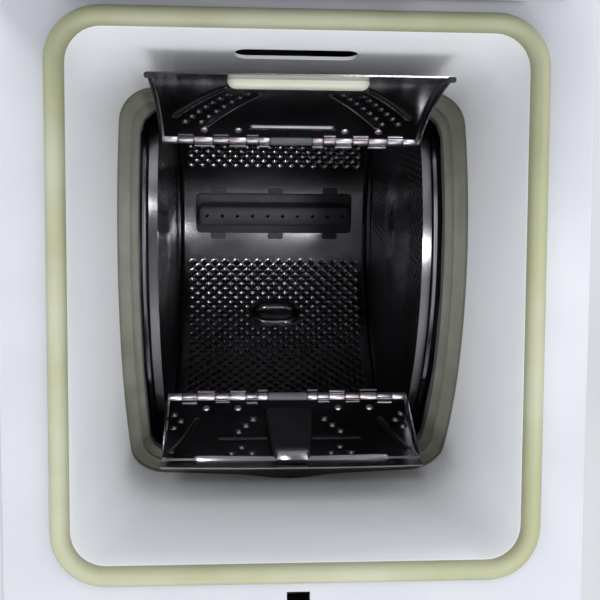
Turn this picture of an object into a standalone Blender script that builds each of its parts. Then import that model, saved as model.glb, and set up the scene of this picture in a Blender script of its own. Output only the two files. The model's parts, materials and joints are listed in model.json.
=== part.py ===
"""Top-loading washing machine, seen with its lid and both drum flaps open."""

from math import asin, atan2, cos, hypot, pi, radians, sin, sqrt, tan, tau

import bmesh
import bpy
from mathutils import Matrix, Vector

for old in list(bpy.data.objects):
    bpy.data.objects.remove(old, do_unlink=True)

# Sizes of the drum and of its opening, in metres and radians
DRUM_RADIUS = 0.230
DRUM_WIDTH = 0.264
DRUM_SHEET = 0.0012
DRUM_X = 0.003
DRUM_TILT = radians(10.0)
OPENING_HALF_ANGLE = radians(31.13)
OPENING_WIDTH = 0.2286
SWAGE_DEPTH = 0.0023
SWAGE_WIDTH = 0.006
SWAGE_INSET = 0.0045
REAR_FLAP_ARC = radians(37.5)
FRONT_FLAP_ARC = radians(26.0)
REAR_FLAP_SWING = radians(99.5)
FRONT_FLAP_SWING = radians(85.1)
FLAP_SIDE_GAP = 0.0032
FLAP_TAPER = 0.0021
FLAP_FLANGE = 0.007
FLAP_LAP_ARC = radians(2.3)
FLAP_RIB_WIDTH = 0.006
FLAP_RIB_HEIGHT = 0.0014
GRIP_LENGTH = 0.106
GRIP_WIDTH = 0.018
GRIP_HEIGHT = 0.0065
GRIP_FROM_HINGE = 0.118
HINGE_EYE_RADIUS = 0.004
HINGE_PIN_RADIUS = 0.002
HINGE_LEAF = 0.0012
HINGE_LEAF_REACH = 0.020
HINGE_EYES = (0.009, 0.010, 0.0145, 0.013, 0.016, 0.013, 0.013)
HINGE_EYE_GAP = 0.0006
SLEEVE_LENGTH = 0.0362
SLEEVE_RADIUS = 0.0048
LATCH_WIDTH = 0.036
LATCH_HEIGHT = 0.0121
LATCH_START = 0.012
LATCH_END_GAP = 0.012
LATCH_WALL = 0.0026
LATCH_TRAVEL = 0.008
LIFTER_LENGTH = 0.212
LIFTER_WIDTH = 0.054
LIFTER_RIDGE = 0.026
LIFTER_HEIGHT = 0.036

# Sizes of the tub and of what drives and carries it
TUB_GAP = 0.018
TUB_WALL = 0.004
TUB_SIDE_GAP = 0.014
NECK_WIDTH = 0.254
NECK_ROOM = 0.0782
NECK_CORNER = 0.024
NECK_FORWARD = 0.016515
NECK_RISE = 0.005
COLLAR_WALL = 0.003
HUB_RADIUS = 0.048
HUB_LENGTH = 0.0197
SHAFT_RADIUS = 0.012
BEARING_RADIUS = 0.026
BEARING_WIDTH = 0.015
RIB_HEIGHT = 0.008
RIB_WIDTH = 0.005
PULLEY_RADIUS = 0.130
PULLEY_WIDTH = 0.015
BELT_WIDTH = 0.011
BELT_THICKNESS = 0.0025
MOTOR_RADIUS = 0.058
MOTOR_LENGTH = 0.110
MOTOR_GAP = 0.043021
MOTOR_LEAN = radians(19.872)
MOTOR_PULLEY_RADIUS = 0.0105
WEIGHT_THICKNESS = 0.038
WEIGHT_LENGTH = 0.210
SPRING_RADIUS = 0.010
SPRING_WIRE = 0.0017
SPRING_TURNS = 6
SPRING_LOW = 0.144
SPRING_HIGH = 0.335
SPRING_OUT = 0.038
LUG_HALF = 0.012
LUG_PLATE = 0.004
DAMPER_X = 0.105
DAMPER_FORWARD = 0.105
DAMPER_RADIUS = 0.015
DAMPER_TOP = 0.125
DAMPER_ROD_RADIUS = 0.0065
DAMPER_FOOT = 0.016
TUB_FLOAT = 0.008

# Sizes of the cabinet, the deck and the loading mouth
SIDE_ROOM = 0.068
DEPTH_ROOM = 0.048
BELOW_TUB = 0.174
AXIS_FORWARD = 0.010
MOUTH_OVER_TUB = 0.148
PANEL = 0.0012
PANEL_FLANGE = 0.015
PANEL_CORNER = 0.010
FOOT_HEIGHT = 0.020
FOOT_RADIUS = 0.020
FOOT_STEM = 0.006
FOOT_INSET = 0.034
BASE_WALL = 0.004
BASE_HEIGHT = 0.040
BASE_CORNER = 0.012
PLINTH_TOP = 0.100
PLINTH_SETBACK = 0.008
DECK_SKIRT = 0.030
DECK_WALL = 0.003
DECK_PLATE = 0.004
DECK_CORNER = 0.012
MOUTH_WIDTH = 0.308
MOUTH_ROOM = 0.0177
MOUTH_CORNER = 0.024
MOUTH_BEHIND_RIM = 0.005
GASKET_WIDTH = 0.013
GASKET_HEIGHT = 0.010
FUNNEL_WALL = 0.0025
FUNNEL_OVER_TUB = 0.028
FUNNEL_RIM_WIDTH = 0.282
FUNNEL_RIM_ROOM = 0.0123
FUNNEL_RIM_CORNER = 0.028
FUNNEL_DIP = 0.010
INLET_SLOT_WIDTH = 0.089
INLET_SLOT_HEIGHT = 0.022
INLET_SLOT_DROP = 0.055
BELLOWS_WALL = 0.0024
BELLOWS_WAVE = 0.0035
LOCK_SLOT_WIDTH = 0.016
LOCK_SLOT_DEPTH = 0.016
LOCK_SLOT_GAP = 0.0075

# Sizes of the lid, its hinge and the tray inside it
LID_BEHIND_MOUTH = 0.0345
LID_AXIS_RISE = 0.018
LID_SWING = radians(95.0)
LID_WALL = 0.0025
LID_HEIGHT = 0.035
LID_GAP = 0.002
LID_CORNER = 0.014
LID_TONGUE_WIDTH = 0.298
LID_TONGUE_BEHIND = 0.006
LID_WING_GAP = 0.002
LID_PIN_RADIUS = 0.004
HINGE_BLOCK_WIDTH = 0.0255
HINGE_BLOCK_RADIUS = 0.012
HOOK_WIDTH = 0.010
HOOK_LENGTH = 0.025
TRAY_WIDTH = 0.200
TRAY_LENGTH = 0.180
TRAY_DEPTH = 0.048
TRAY_WALL = 0.004
TRAY_FROM_HINGE = 0.118

# Sizes of the console and of its controls
CONSOLE_GAP = 0.028
CONSOLE_FRONT = 0.026
CONSOLE_BACK = 0.0627
CONSOLE_EDGE = 0.005
CONSOLE_WALL = 0.0025
FASCIA = 0.0015
FASCIA_MARGIN = 0.010
KNOB_RADIUS = 0.024
KNOB_HEIGHT = 0.018
KNOB_SHAFT = 0.005
KNOB_X = 0.120
BUTTON_WIDTH = 0.026
BUTTON_DEPTH = 0.014
BUTTON_PROUD = 0.004
BUTTON_STEM = 0.008
BUTTON_CORNER = 0.004
BUTTON_X = (-0.130, -0.090)

# Sizes of the pump, its filter and the water fittings
PUMP_X = -0.100
PUMP_RADIUS = 0.030
PUMP_LENGTH = 0.106
PUMP_RISE = 0.038
SUMP_BACK = 0.086
SUMP_RADIUS = 0.018
SUMP_DROP = 0.017
HOSE_WALL = 0.0028
HOSE_WAVE = 0.003
HOSE_CUFF = 0.016
HOSE_BENDS = 4
FILTER_RADIUS = 0.0215
FILTER_DEPTH = 0.050
FILTER_FLANGE = 0.0265
DOOR_WIDTH = 0.100
DOOR_HEIGHT = 0.054
DOOR_LOW = 0.034
VALVE_X = -0.100
VALVE_DROP = 0.070
VALVE_SIZE = 0.040
VALVE_PORT = 0.013
VALVE_BORE = 0.008
RECESS_DEPTH = 0.014
RECESS_MARGIN = 0.050

# Clearances between pieces
FIT = 0.0003
RUN = 0.0006
LOOSE = 0.0012

# Facets
CORNER_STEPS = 3
TIGHT_STEPS = 2
SIDE_STEPS = 4
FRONT_STEPS = 6
SMALL_STEPS = 8
ROUND_STEPS = 16
WIDE_STEPS = 20
TUB_STEPS = 22
DRUM_STEPS = 24
WINDOW_STEPS = 6
EYE_STEPS = 6
COIL_STEPS = 5
SHARP = radians(35.0)

# Places worked out from the sizes above
TUB_IN = DRUM_RADIUS + TUB_GAP
TUB_OUT = TUB_IN + TUB_WALL
TUB_HALF = DRUM_WIDTH / 2 + TUB_SIDE_GAP
SPRING_X = TUB_HALF + SPRING_OUT
HALF_WIDTH = DRUM_WIDTH / 2 + SIDE_ROOM
HALF_DEPTH = TUB_OUT + DEPTH_ROOM
BASE_LOW = FOOT_HEIGHT
FLOOR = BASE_LOW + BASE_WALL
AXIS_Y = -AXIS_FORWARD
AXIS_Z = FLOOR + BELOW_TUB + TUB_OUT
DECK = AXIS_Z + TUB_OUT + MOUTH_OVER_TUB
PANEL_TOP = DECK - DECK_SKIRT - FIT
OPENING_CHORD = 2 * DRUM_RADIUS * sin(OPENING_HALF_ANGLE)
OPENING_Y = AXIS_Y - OPENING_CHORD / tan(OPENING_HALF_ANGLE) * sin(DRUM_TILT) / 2
FLAP_ROOT_WIDTH = OPENING_WIDTH - 2 * FLAP_SIDE_GAP
FLAP_TIP_WIDTH = FLAP_ROOT_WIDTH - 2 * FLAP_TAPER
NECK_Y = OPENING_Y - NECK_FORWARD
NECK_DEPTH = OPENING_CHORD + NECK_ROOM
RIM_Y = NECK_Y
FUNNEL_RIM_DEPTH = NECK_DEPTH + 2 * FUNNEL_RIM_ROOM
FUNNEL_RADIUS = TUB_OUT + FUNNEL_OVER_TUB
MOUTH_Y = RIM_Y + MOUTH_BEHIND_RIM
MOUTH_DEPTH = FUNNEL_RIM_DEPTH + MOUTH_ROOM
MOUTH_BACK = MOUTH_Y + MOUTH_DEPTH / 2
MOUTH_FRONT = MOUTH_Y - MOUTH_DEPTH / 2
LID_Y = MOUTH_BACK + LID_BEHIND_MOUTH
LID_Z = DECK + LID_AXIS_RISE
SHEET_OUT = DRUM_RADIUS - HINGE_LEAF / 2 - FIT
SHEET_IN = SHEET_OUT - DRUM_SHEET
ROOT_GAP = HINGE_EYE_RADIUS + LOOSE
CONSOLE_Y = LID_Y + CONSOLE_GAP
CONSOLE_LOW = DECK + FIT
COLLAR_TOP = TUB_OUT + NECK_RISE
WINDOW = OPENING_HALF_ANGLE + ROOT_GAP / DRUM_RADIUS
DRUM_FLAT = SHEET_IN * cos((pi - WINDOW) / DRUM_STEPS)


def look(name, colour, roughness, metallic):
    """A plain material with its colour, roughness and metal share."""
    material = bpy.data.materials.new(name)
    material.use_nodes = True
    shader = material.node_tree.nodes["Principled BSDF"]
    shader.inputs["Base Color"].default_value = (*colour, 1.0)
    shader.inputs["Roughness"].default_value = roughness
    shader.inputs["Metallic"].default_value = metallic
    material.diffuse_color = (*colour, 1.0)
    return material


ENAMEL = look("white_enamel", (0.80, 0.80, 0.80), 0.35, 0.0)
WHITE = look("white_plastic", (0.76, 0.77, 0.78), 0.40, 0.0)
IVORY = look("ivory_rubber", (0.70, 0.69, 0.55), 0.60, 0.0)
IVORY_PLASTIC = look("ivory_plastic", (0.72, 0.71, 0.60), 0.40, 0.0)
GREY_RUBBER = look("grey_rubber", (0.20, 0.20, 0.19), 0.65, 0.0)
BLACK = look("black_plastic", (0.02, 0.02, 0.02), 0.50, 0.0)
GREY = look("grey_plastic", (0.30, 0.31, 0.32), 0.50, 0.0)
STEEL = look("stainless_steel", (0.55, 0.55, 0.55), 0.25, 1.0)
DARK_STEEL = look("plated_steel", (0.40, 0.40, 0.40), 0.40, 1.0)
ALLOY = look("cast_aluminium", (0.60, 0.60, 0.60), 0.45, 1.0)
IRON = look("cast_iron", (0.14, 0.14, 0.15), 0.75, 0.4)
TUB_PLASTIC = look("tub_plastic", (0.42, 0.43, 0.45), 0.55, 0.0)


def lay(points, axis, level):
    """Set flat points at a level along one axis."""
    if axis == "X":
        return [(level, a, b) for a, b in points]
    if axis == "Y":
        return [(a, level, b) for a, b in points]
    return [(a, b, level) for a, b in points]


def loft(loops, closed=False, bm=None):
    """Skin between loops of equal count, capped or run round into a ring."""
    bm = bm or bmesh.new()
    rings = [[bm.verts.new(point) for point in loop] for loop in loops]
    count = len(rings[0])
    pairs = list(zip(rings, rings[1:]))
    if closed:
        pairs.append((rings[-1], rings[0]))
    for low, high in pairs:
        for i in range(count):
            j = (i + 1) % count
            bm.faces.new((low[i], low[j], high[j], high[i]))
    if not closed:
        bm.faces.new(list(reversed(rings[0])))
        bm.faces.new(rings[-1])
    return bm


def prism(points, axis, low, high, bm=None):
    """A flat outline pushed from one level to another."""
    return loft([lay(points, axis, low), lay(points, axis, high)], bm=bm)


def box(low, high, bm=None):
    """A block between two opposite corners."""
    outline = [(low[0], low[1]), (high[0], low[1]), (high[0], high[1]), (low[0], high[1])]
    return prism(outline, "Z", low[2], high[2], bm=bm)


def circle(centre, radius, steps):
    """Points round a circle."""
    turn = [tau * k / steps for k in range(steps)]
    return [(centre[0] + radius * cos(a), centre[1] + radius * sin(a)) for a in turn]


def turned(profile, axis, centre, steps=ROUND_STEPS, bored=False, bm=None):
    """A profile of levels and radii turned about an axis."""
    loops = [lay(circle(centre, radius, steps), axis, level) for level, radius in profile]
    return loft(loops, closed=bored, bm=bm)


def spaced(start, end, steps):
    """Points from one place up to, but not including, another."""
    return [
        (start[0] + (end[0] - start[0]) * k / steps, start[1] + (end[1] - start[1]) * k / steps)
        for k in range(steps)
    ]


def rounded(half_x, half_y, radius, centre=(0.0, 0.0), along_x=1, along_y=1, bend=CORNER_STEPS):
    """A rectangle with rounded corners, its sides cut into equal steps."""
    inner_x = half_x - radius
    inner_y = half_y - radius
    corners = ((1, 1, 0.0), (-1, 1, pi / 2), (-1, -1, pi), (1, -1, 1.5 * pi))
    points = []
    for number, (sx, sy, start) in enumerate(corners):
        mid = (centre[0] + sx * inner_x, centre[1] + sy * inner_y)
        arc = []
        for k in range(bend + 1):
            angle = start + pi / 2 * k / bend
            arc.append((mid[0] + radius * cos(angle), mid[1] + radius * sin(angle)))
        after = corners[(number + 1) % 4]
        turn = start + pi / 2
        nxt = (
            centre[0] + after[0] * inner_x + radius * cos(turn),
            centre[1] + after[1] * inner_y + radius * sin(turn),
        )
        steps = along_x if number % 2 == 0 else along_y
        points += arc[:-1] + spaced(arc[-1], nxt, steps)
    return points


def obround(length, width, centre, steps=8):
    """A slot outline with round ends."""
    reach = (length - width) / 2
    points = []
    for side in (1, -1):
        for k in range(steps + 1):
            angle = -side * pi / 2 + pi * k / steps
            points.append(
                (centre[0] + side * reach + width / 2 * cos(angle), centre[1] + width / 2 * sin(angle))
            )
    return points


def polar(angle, radius):
    """Place on a circle about the drum axis, turned from the top towards the front."""
    return (-radius * sin(angle), radius * cos(angle))


def over_drum(points, radius, rise=None):
    """Lay a plan outline on a cylinder about the drum axis."""
    laid = []
    for x, y in points:
        level = AXIS_Z + sqrt(radius * radius - (y - AXIS_Y) ** 2)
        if rise:
            level += rise(x, y)
        laid.append((x, y, level))
    return laid


def tube(path, radius, sides=6):
    """A round wire along a path."""
    path = [Vector(p) for p in path]
    loops = []
    side = None
    for k, point in enumerate(path):
        ahead = path[min(k + 1, len(path) - 1)] - path[max(k - 1, 0)]
        ahead.normalize()
        if side is None:
            side = ahead.orthogonal()
        side = side - ahead * side.dot(ahead)
        side.normalize()
        other = ahead.cross(side)
        ring = []
        for n in range(sides):
            angle = tau * n / sides
            ring.append(point + (side * cos(angle) + other * sin(angle)) * radius)
        loops.append(ring)
    return loft(loops)


def settle(name, bm, parent):
    """Turn the working mesh into an object of the scene."""
    if all(edge.is_manifold for edge in bm.edges):
        bmesh.ops.recalc_face_normals(bm, faces=bm.faces[:])
    mesh = bpy.data.meshes.new(name)
    bm.to_mesh(mesh)
    bm.free()
    thing = bpy.data.objects.new(name, mesh)
    bpy.context.scene.collection.objects.link(thing)
    thing.parent = parent
    return thing


def node(name, bm, material, parent=None):
    """One named piece of the machine."""
    thing = settle(name, bm, parent)
    thing.data.materials.append(material)
    thing.data.shade_smooth()
    thing.data.set_sharp_from_angle(angle=SHARP)
    return thing


def tool(target, bm, operation, label):
    """Cut from or fuse to a piece with a hidden helper."""
    helper = settle(target.name + "_" + label, bm, target.parent)
    helper.hide_render = True
    helper.display_type = "WIRE"
    step = target.modifiers.new(label, "BOOLEAN")
    step.operation = operation
    step.solver = "EXACT"
    step.object = helper
    return helper


def cut(target, bm, label):
    """Take a helper shape away from a piece."""
    return tool(target, bm, "DIFFERENCE", label)


def fuse(target, bm, label):
    """Grow a helper shape onto a piece."""
    return tool(target, bm, "UNION", label)


def pivot(name, place, turn=0.0, parent=None):
    """An empty on a joint axis, turned about X."""
    thing = bpy.data.objects.new(name, None)
    bpy.context.scene.collection.objects.link(thing)
    thing.location = place
    thing.rotation_euler = (turn, 0.0, 0.0)
    thing.parent = parent
    return thing


# Joint frames
REAR_PIN = polar(-OPENING_HALF_ANGLE, DRUM_RADIUS)
FRONT_PIN = polar(OPENING_HALF_ANGLE, DRUM_RADIUS)
lid_axis = pivot("lid_axis", (0.0, LID_Y, LID_Z), -LID_SWING)
drum_axis = pivot("drum_axis", (DRUM_X, AXIS_Y, AXIS_Z), DRUM_TILT)
rear_axis = pivot("rear_flap_axis", (0.0, *REAR_PIN), -REAR_FLAP_SWING, drum_axis)
front_axis = pivot("front_flap_axis", (0.0, *FRONT_PIN), FRONT_FLAP_SWING, drum_axis)

# Side panels with folded edges and a spring bracket each
SIDE_FRONT = -HALF_DEPTH + PANEL_FLANGE + FIT
for name, side in (("left_panel", -1), ("right_panel", 1)):
    outer = side * HALF_WIDTH
    inner = side * (HALF_WIDTH - PANEL)
    lip = side * (HALF_WIDTH - PANEL_FLANGE)
    outline = [
        (outer, SIDE_FRONT),
        (outer, HALF_DEPTH),
        (lip, HALF_DEPTH),
        (lip, HALF_DEPTH - PANEL),
        (inner, HALF_DEPTH - PANEL),
        (inner, SIDE_FRONT + PANEL),
        (lip, SIDE_FRONT + PANEL),
        (lip, SIDE_FRONT),
    ]
    panel = node(name, prism(outline, "Z", BASE_LOW, PANEL_TOP), ENAMEL)
    high = AXIS_Z + SPRING_HIGH
    root = side * (HALF_WIDTH - PANEL / 2)
    tip = side * (SPRING_X - SPRING_RADIUS)
    shelf = box(
        (min(root, tip), AXIS_Y - LUG_HALF, high - LUG_PLATE), (max(root, tip), AXIS_Y + LUG_HALF, high)
    )
    fuse(panel, shelf, "bracket")
    eye = turned(
        [(high - 0.010, SPRING_WIRE + LOOSE), (high + 0.010, SPRING_WIRE + LOOSE)],
        "Z",
        (side * SPRING_X, AXIS_Y),
        8,
    )
    cut(panel, eye, "eye")

# Front panel, wrapped round the two front edges
front_outer = []
front_inner = []
for sx, start in ((-1, pi), (1, 1.5 * pi)):
    for k in range(CORNER_STEPS + 1):
        angle = start + pi / 2 * k / CORNER_STEPS
        mid_x = sx * (HALF_WIDTH - PANEL_CORNER)
        mid_y = -HALF_DEPTH + PANEL_CORNER
        reach = PANEL_CORNER - PANEL
        front_outer.append((mid_x + PANEL_CORNER * cos(angle), mid_y + PANEL_CORNER * sin(angle)))
        front_inner.append((mid_x + reach * cos(angle), mid_y + reach * sin(angle)))
RETURN_Y = -HALF_DEPTH + PANEL_FLANGE
front_line = [(-HALF_WIDTH, RETURN_Y)] + front_outer + [(HALF_WIDTH, RETURN_Y)]
front_line += [(HALF_WIDTH - PANEL, RETURN_Y)] + front_inner[::-1] + [(PANEL - HALF_WIDTH, RETURN_Y)]
node("front_panel", prism(front_line, "Z", PLINTH_TOP + LOOSE, PANEL_TOP), ENAMEL)

# Rear panel with a sunk field for the water fittings
REAR_Y = HALF_DEPTH - PANEL - FIT
PANEL_MID = (BASE_LOW + PANEL_TOP) / 2
PANEL_HALF = (PANEL_TOP - BASE_LOW) / 2
rear_loops = []
for inset, level in (
    (RECESS_MARGIN + RECESS_DEPTH, REAR_Y - RECESS_DEPTH),
    (RECESS_MARGIN, REAR_Y),
    (2 * PANEL + FIT, REAR_Y),
    (2 * PANEL + FIT, REAR_Y - PANEL),
    (RECESS_MARGIN + PANEL / 2, REAR_Y - PANEL),
    (RECESS_MARGIN + RECESS_DEPTH + PANEL / 2, REAR_Y - RECESS_DEPTH - PANEL),
):
    field = rounded(
        HALF_WIDTH - inset, PANEL_HALF - inset, 0.004, (0.0, PANEL_MID), bend=TIGHT_STEPS
    )
    rear_loops.append(lay(field, "Y", level))
rear_panel = node("rear_panel", loft(rear_loops), ENAMEL)
RECESS_Y = REAR_Y - RECESS_DEPTH
VALVE_Z = PANEL_TOP - VALVE_DROP - RECESS_MARGIN
PORT_SPAN = (RECESS_Y - 0.010, RECESS_Y + 0.010)
cut(
    rear_panel,
    turned([(level, VALVE_PORT + FIT) for level in PORT_SPAN], "Y", (VALVE_X, VALVE_Z), 16),
    "valve_hole",
)

# Base tray, feet and plinth
BASE_X = HALF_WIDTH - PANEL - FIT
BASE_FRONT = SIDE_FRONT + PANEL + FIT
BASE_BACK = REAR_Y - PANEL - FIT
BASE_MID = (BASE_FRONT + BASE_BACK) / 2
BASE_Y = (BASE_BACK - BASE_FRONT) / 2
base_loops = []
for inset, level in (
    (0.0, BASE_LOW),
    (0.0, BASE_LOW + BASE_HEIGHT),
    (BASE_WALL, BASE_LOW + BASE_HEIGHT),
    (BASE_WALL, FLOOR),
):
    edge = rounded(
        BASE_X - inset, BASE_Y - inset, BASE_CORNER - inset, (0.0, BASE_MID), bend=TIGHT_STEPS
    )
    base_loops.append(lay(edge, "Z", level))
base = node("base_tray", loft(base_loops), GREY)
PUMP_Z = FLOOR + PUMP_RISE
notch_low = (PUMP_X - PUMP_RADIUS - LOOSE, BASE_FRONT - 0.010, PUMP_Z - PUMP_RADIUS - LOOSE)
notch_high = (PUMP_X + PUMP_RADIUS + LOOSE, BASE_FRONT + 0.010, BASE_LOW + BASE_HEIGHT + 0.010)
cut(base, box(notch_low, notch_high), "filter_notch")
bores = bmesh.new()
FOOT_SPOTS = (
    ("foot_front_left", -1, -1),
    ("foot_front_right", 1, -1),
    ("foot_rear_left", -1, 1),
    ("foot_rear_right", 1, 1),
)
for name, sx, sy in FOOT_SPOTS:
    spot = (sx * (HALF_WIDTH - FOOT_INSET), sy * (HALF_DEPTH - FOOT_INSET))
    profile = (
        (0.0, FOOT_RADIUS - 0.002),
        (0.002, FOOT_RADIUS),
        (0.007, FOOT_RADIUS),
        (0.009, FOOT_STEM * 2),
        (BASE_LOW - FIT, FOOT_STEM * 2),
        (BASE_LOW - FIT, FOOT_STEM),
        (FLOOR + 0.010, FOOT_STEM),
    )
    node(name, turned(profile, "Z", spot, SMALL_STEPS), BLACK)
    bore = [(BASE_LOW - 0.010, FOOT_STEM + FIT), (FLOOR + 0.010, FOOT_STEM + FIT)]
    turned(bore, "Z", spot, SMALL_STEPS, bm=bores)
cut(base, bores, "foot_bores")
PLINTH_Y = -HALF_DEPTH + PLINTH_SETBACK
plinth_line = [
    (PLINTH_Y, BASE_LOW + LOOSE),
    (PLINTH_Y, PLINTH_TOP),
    (SIDE_FRONT - FIT, PLINTH_TOP),
    (SIDE_FRONT - FIT, PLINTH_TOP - BASE_WALL),
    (PLINTH_Y + BASE_WALL, PLINTH_TOP - BASE_WALL),
    (PLINTH_Y + BASE_WALL, BASE_LOW + LOOSE),
]
plinth = node("plinth", prism(plinth_line, "X", -HALF_WIDTH + LOOSE, HALF_WIDTH - LOOSE), WHITE)
door_low = (PUMP_X - DOOR_WIDTH / 2, PLINTH_Y - 0.010, DOOR_LOW)
door_high = (PUMP_X + DOOR_WIDTH / 2, PLINTH_Y + BASE_WALL + 0.003, DOOR_LOW + DOOR_HEIGHT)
cut(plinth, box(door_low, door_high), "door_hole")
DOOR_AXIS_Y = PLINTH_Y + BASE_WALL / 2
DOOR_AXIS_Z = DOOR_LOW + LOOSE + BASE_WALL / 2
door_line = [(PLINTH_Y, DOOR_LOW + DOOR_HEIGHT - RUN), (PLINTH_Y, DOOR_AXIS_Z)]
for k in range(1, 6):
    turn = pi + pi * k / 6
    door_line.append(
        (DOOR_AXIS_Y + BASE_WALL / 2 * cos(turn), DOOR_AXIS_Z + BASE_WALL / 2 * sin(turn))
    )
door_line += [(PLINTH_Y + BASE_WALL, DOOR_AXIS_Z), (PLINTH_Y + BASE_WALL, DOOR_LOW + DOOR_HEIGHT - RUN)]
door_axis = pivot("filter_door_axis", (PUMP_X, DOOR_AXIS_Y, DOOR_AXIS_Z))
door_line = [(y - DOOR_AXIS_Y, z - DOOR_AXIS_Z) for y, z in door_line]
node(
    "filter_door",
    prism(door_line, "X", RUN - DOOR_WIDTH / 2, DOOR_WIDTH / 2 - RUN),
    WHITE,
    door_axis,
)


# Deck round the loading mouth, with the lid-lock slot and two hinge blocks
def mouth(offset, along_x=1, along_y=1):
    """The outline of the mouth, grown by an offset."""
    return rounded(
        MOUTH_WIDTH / 2 + offset,
        MOUTH_DEPTH / 2 + offset,
        MOUTH_CORNER + offset,
        (0.0, MOUTH_Y),
        along_x,
        along_y,
    )


DECK_LAP = GASKET_WIDTH / 2
deck_loops = []
deck_edge = ((0.0, DECK - DECK_SKIRT), (0.0, DECK - 0.003), (0.001, DECK - 0.001), (0.003, DECK))
for inset, level in deck_edge:
    edge = rounded(HALF_WIDTH - inset, HALF_DEPTH - inset, DECK_CORNER - inset)
    deck_loops.append(lay(edge, "Z", level))
deck_loops.append(lay(mouth(DECK_LAP + FIT), "Z", DECK))
deck_loops.append(lay(mouth(DECK_LAP + FIT), "Z", DECK - DECK_PLATE))
for level in (DECK - DECK_PLATE, DECK - DECK_SKIRT):
    edge = rounded(HALF_WIDTH - DECK_WALL, HALF_DEPTH - DECK_WALL, DECK_CORNER - DECK_WALL)
    deck_loops.append(lay(edge, "Z", level))
deck = node("top_surround", loft(deck_loops, closed=True), WHITE)
LOCK_BACK = MOUTH_FRONT - GASKET_WIDTH - LOCK_SLOT_GAP
LOCK_FRONT = LOCK_BACK - LOCK_SLOT_DEPTH
cut(
    deck,
    box(
        (-LOCK_SLOT_WIDTH / 2, LOCK_FRONT, DECK - 0.020),
        (LOCK_SLOT_WIDTH / 2, LOCK_BACK, DECK + 0.020),
    ),
    "lock_slot",
)
blocks = bmesh.new()
block_bores = bmesh.new()
BLOCK_LOW = DECK - DECK_PLATE / 2
for side in (-1, 1):
    near = side * (LID_TONGUE_WIDTH / 2 + LOOSE)
    far = near + side * HINGE_BLOCK_WIDTH
    block_line = [(LID_Y - HINGE_BLOCK_RADIUS, BLOCK_LOW)]
    for k in range(9):
        turn = pi - pi * k / 8
        block_line.append(
            (LID_Y + HINGE_BLOCK_RADIUS * cos(turn), LID_Z + HINGE_BLOCK_RADIUS * sin(turn))
        )
    block_line.append((LID_Y + HINGE_BLOCK_RADIUS, BLOCK_LOW))
    prism(block_line, "X", min(near, far), max(near, far), bm=blocks)
    span = [near - side * 0.004, far - side * 0.003]
    turned(
        [(level, LID_PIN_RADIUS + FIT) for level in sorted(span)],
        "X",
        (LID_Y, LID_Z),
        12,
        bm=block_bores,
    )
fuse(deck, blocks, "hinge_blocks")
cut(deck, block_bores, "hinge_bores")

# Lid lock under its slot
LOCK_DEEP = HOOK_LENGTH + 0.010
lock_low = (-LOCK_SLOT_WIDTH / 2 - 0.014, LOCK_FRONT - 0.008, DECK - LOCK_DEEP - 0.006)
lock_high = (LOCK_SLOT_WIDTH / 2 + 0.014, LOCK_BACK + 0.004, DECK - DECK_PLATE - FIT)
lock = node("lid_lock", box(lock_low, lock_high), BLACK)
cut(
    lock,
    box(
        (-LOCK_SLOT_WIDTH / 2 + FIT, LOCK_FRONT + FIT, DECK - LOCK_DEEP),
        (LOCK_SLOT_WIDTH / 2 - FIT, LOCK_BACK - FIT, DECK),
    ),
    "lock_pocket",
)

# Ivory seal round the mouth
gasket_loops = []
for share, rise in (
    (0.03, 0.0),
    (0.0, 0.5),
    (0.14, 0.84),
    (0.5, 1.0),
    (0.86, 0.84),
    (1.0, 0.5),
    (0.97, 0.0),
):
    level = DECK + FIT + rise * (GASKET_HEIGHT - FIT)
    gasket_loops.append(lay(mouth(share * GASKET_WIDTH), "Z", level))
node("mouth_gasket", loft(gasket_loops, closed=True), IVORY)


# Loading funnel, its lower rim wrapped round the drum
RIM_FRONT = RIM_Y - FUNNEL_RIM_DEPTH / 2


def rim(offset):
    """The outline of the funnel's lower rim, grown by an offset."""
    return rounded(
        FUNNEL_RIM_WIDTH / 2 + offset,
        FUNNEL_RIM_DEPTH / 2 + offset,
        FUNNEL_RIM_CORNER + offset,
        (DRUM_X, RIM_Y),
        FRONT_STEPS,
        SIDE_STEPS,
    )


def front_dip(share):
    """The lift of the rim along the middle of its front side."""

    def rise(x, y):
        reach = 0.38 * FUNNEL_RIM_WIDTH
        if y > RIM_FRONT + FUNNEL_RIM_CORNER / 3 or abs(x - DRUM_X) > reach:
            return 0.0
        return share * FUNNEL_DIP * (1.0 - ((x - DRUM_X) / reach) ** 2) ** 2

    return rise


def top_line(offset):
    """The mouth outline cut into as many steps as the rim."""
    return mouth(offset, FRONT_STEPS, SIDE_STEPS)


funnel_loops = [
    over_drum(rim(0.0), FUNNEL_RADIUS, front_dip(1.0)),
    lay(top_line(0.0), "Z", DECK - 0.003),
    lay(top_line(0.001), "Z", DECK - 0.001),
    lay(top_line(0.003), "Z", DECK),
    lay(top_line(DECK_LAP), "Z", DECK),
    lay(top_line(DECK_LAP), "Z", DECK - DECK_PLATE),
    lay(top_line(FUNNEL_WALL), "Z", DECK - DECK_PLATE),
    over_drum(rim(FUNNEL_WALL), FUNNEL_RADIUS, front_dip(1.0)),
]
funnel = node("loading_funnel", loft(funnel_loops, closed=True), WHITE)
slot_line = obround(INLET_SLOT_WIDTH, INLET_SLOT_HEIGHT, (0.0, DECK - INLET_SLOT_DROP))
cut(
    funnel,
    prism(slot_line, "Y", MOUTH_BACK - 0.030, MOUTH_BACK + 0.030),
    "inlet_slot",
)

# Grey rubber bellows from the funnel down to the tub neck
BELLOWS_HIGH = FUNNEL_RADIUS - 2 * FIT
BELLOWS_LOW = COLLAR_TOP + 2 * FIT


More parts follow.
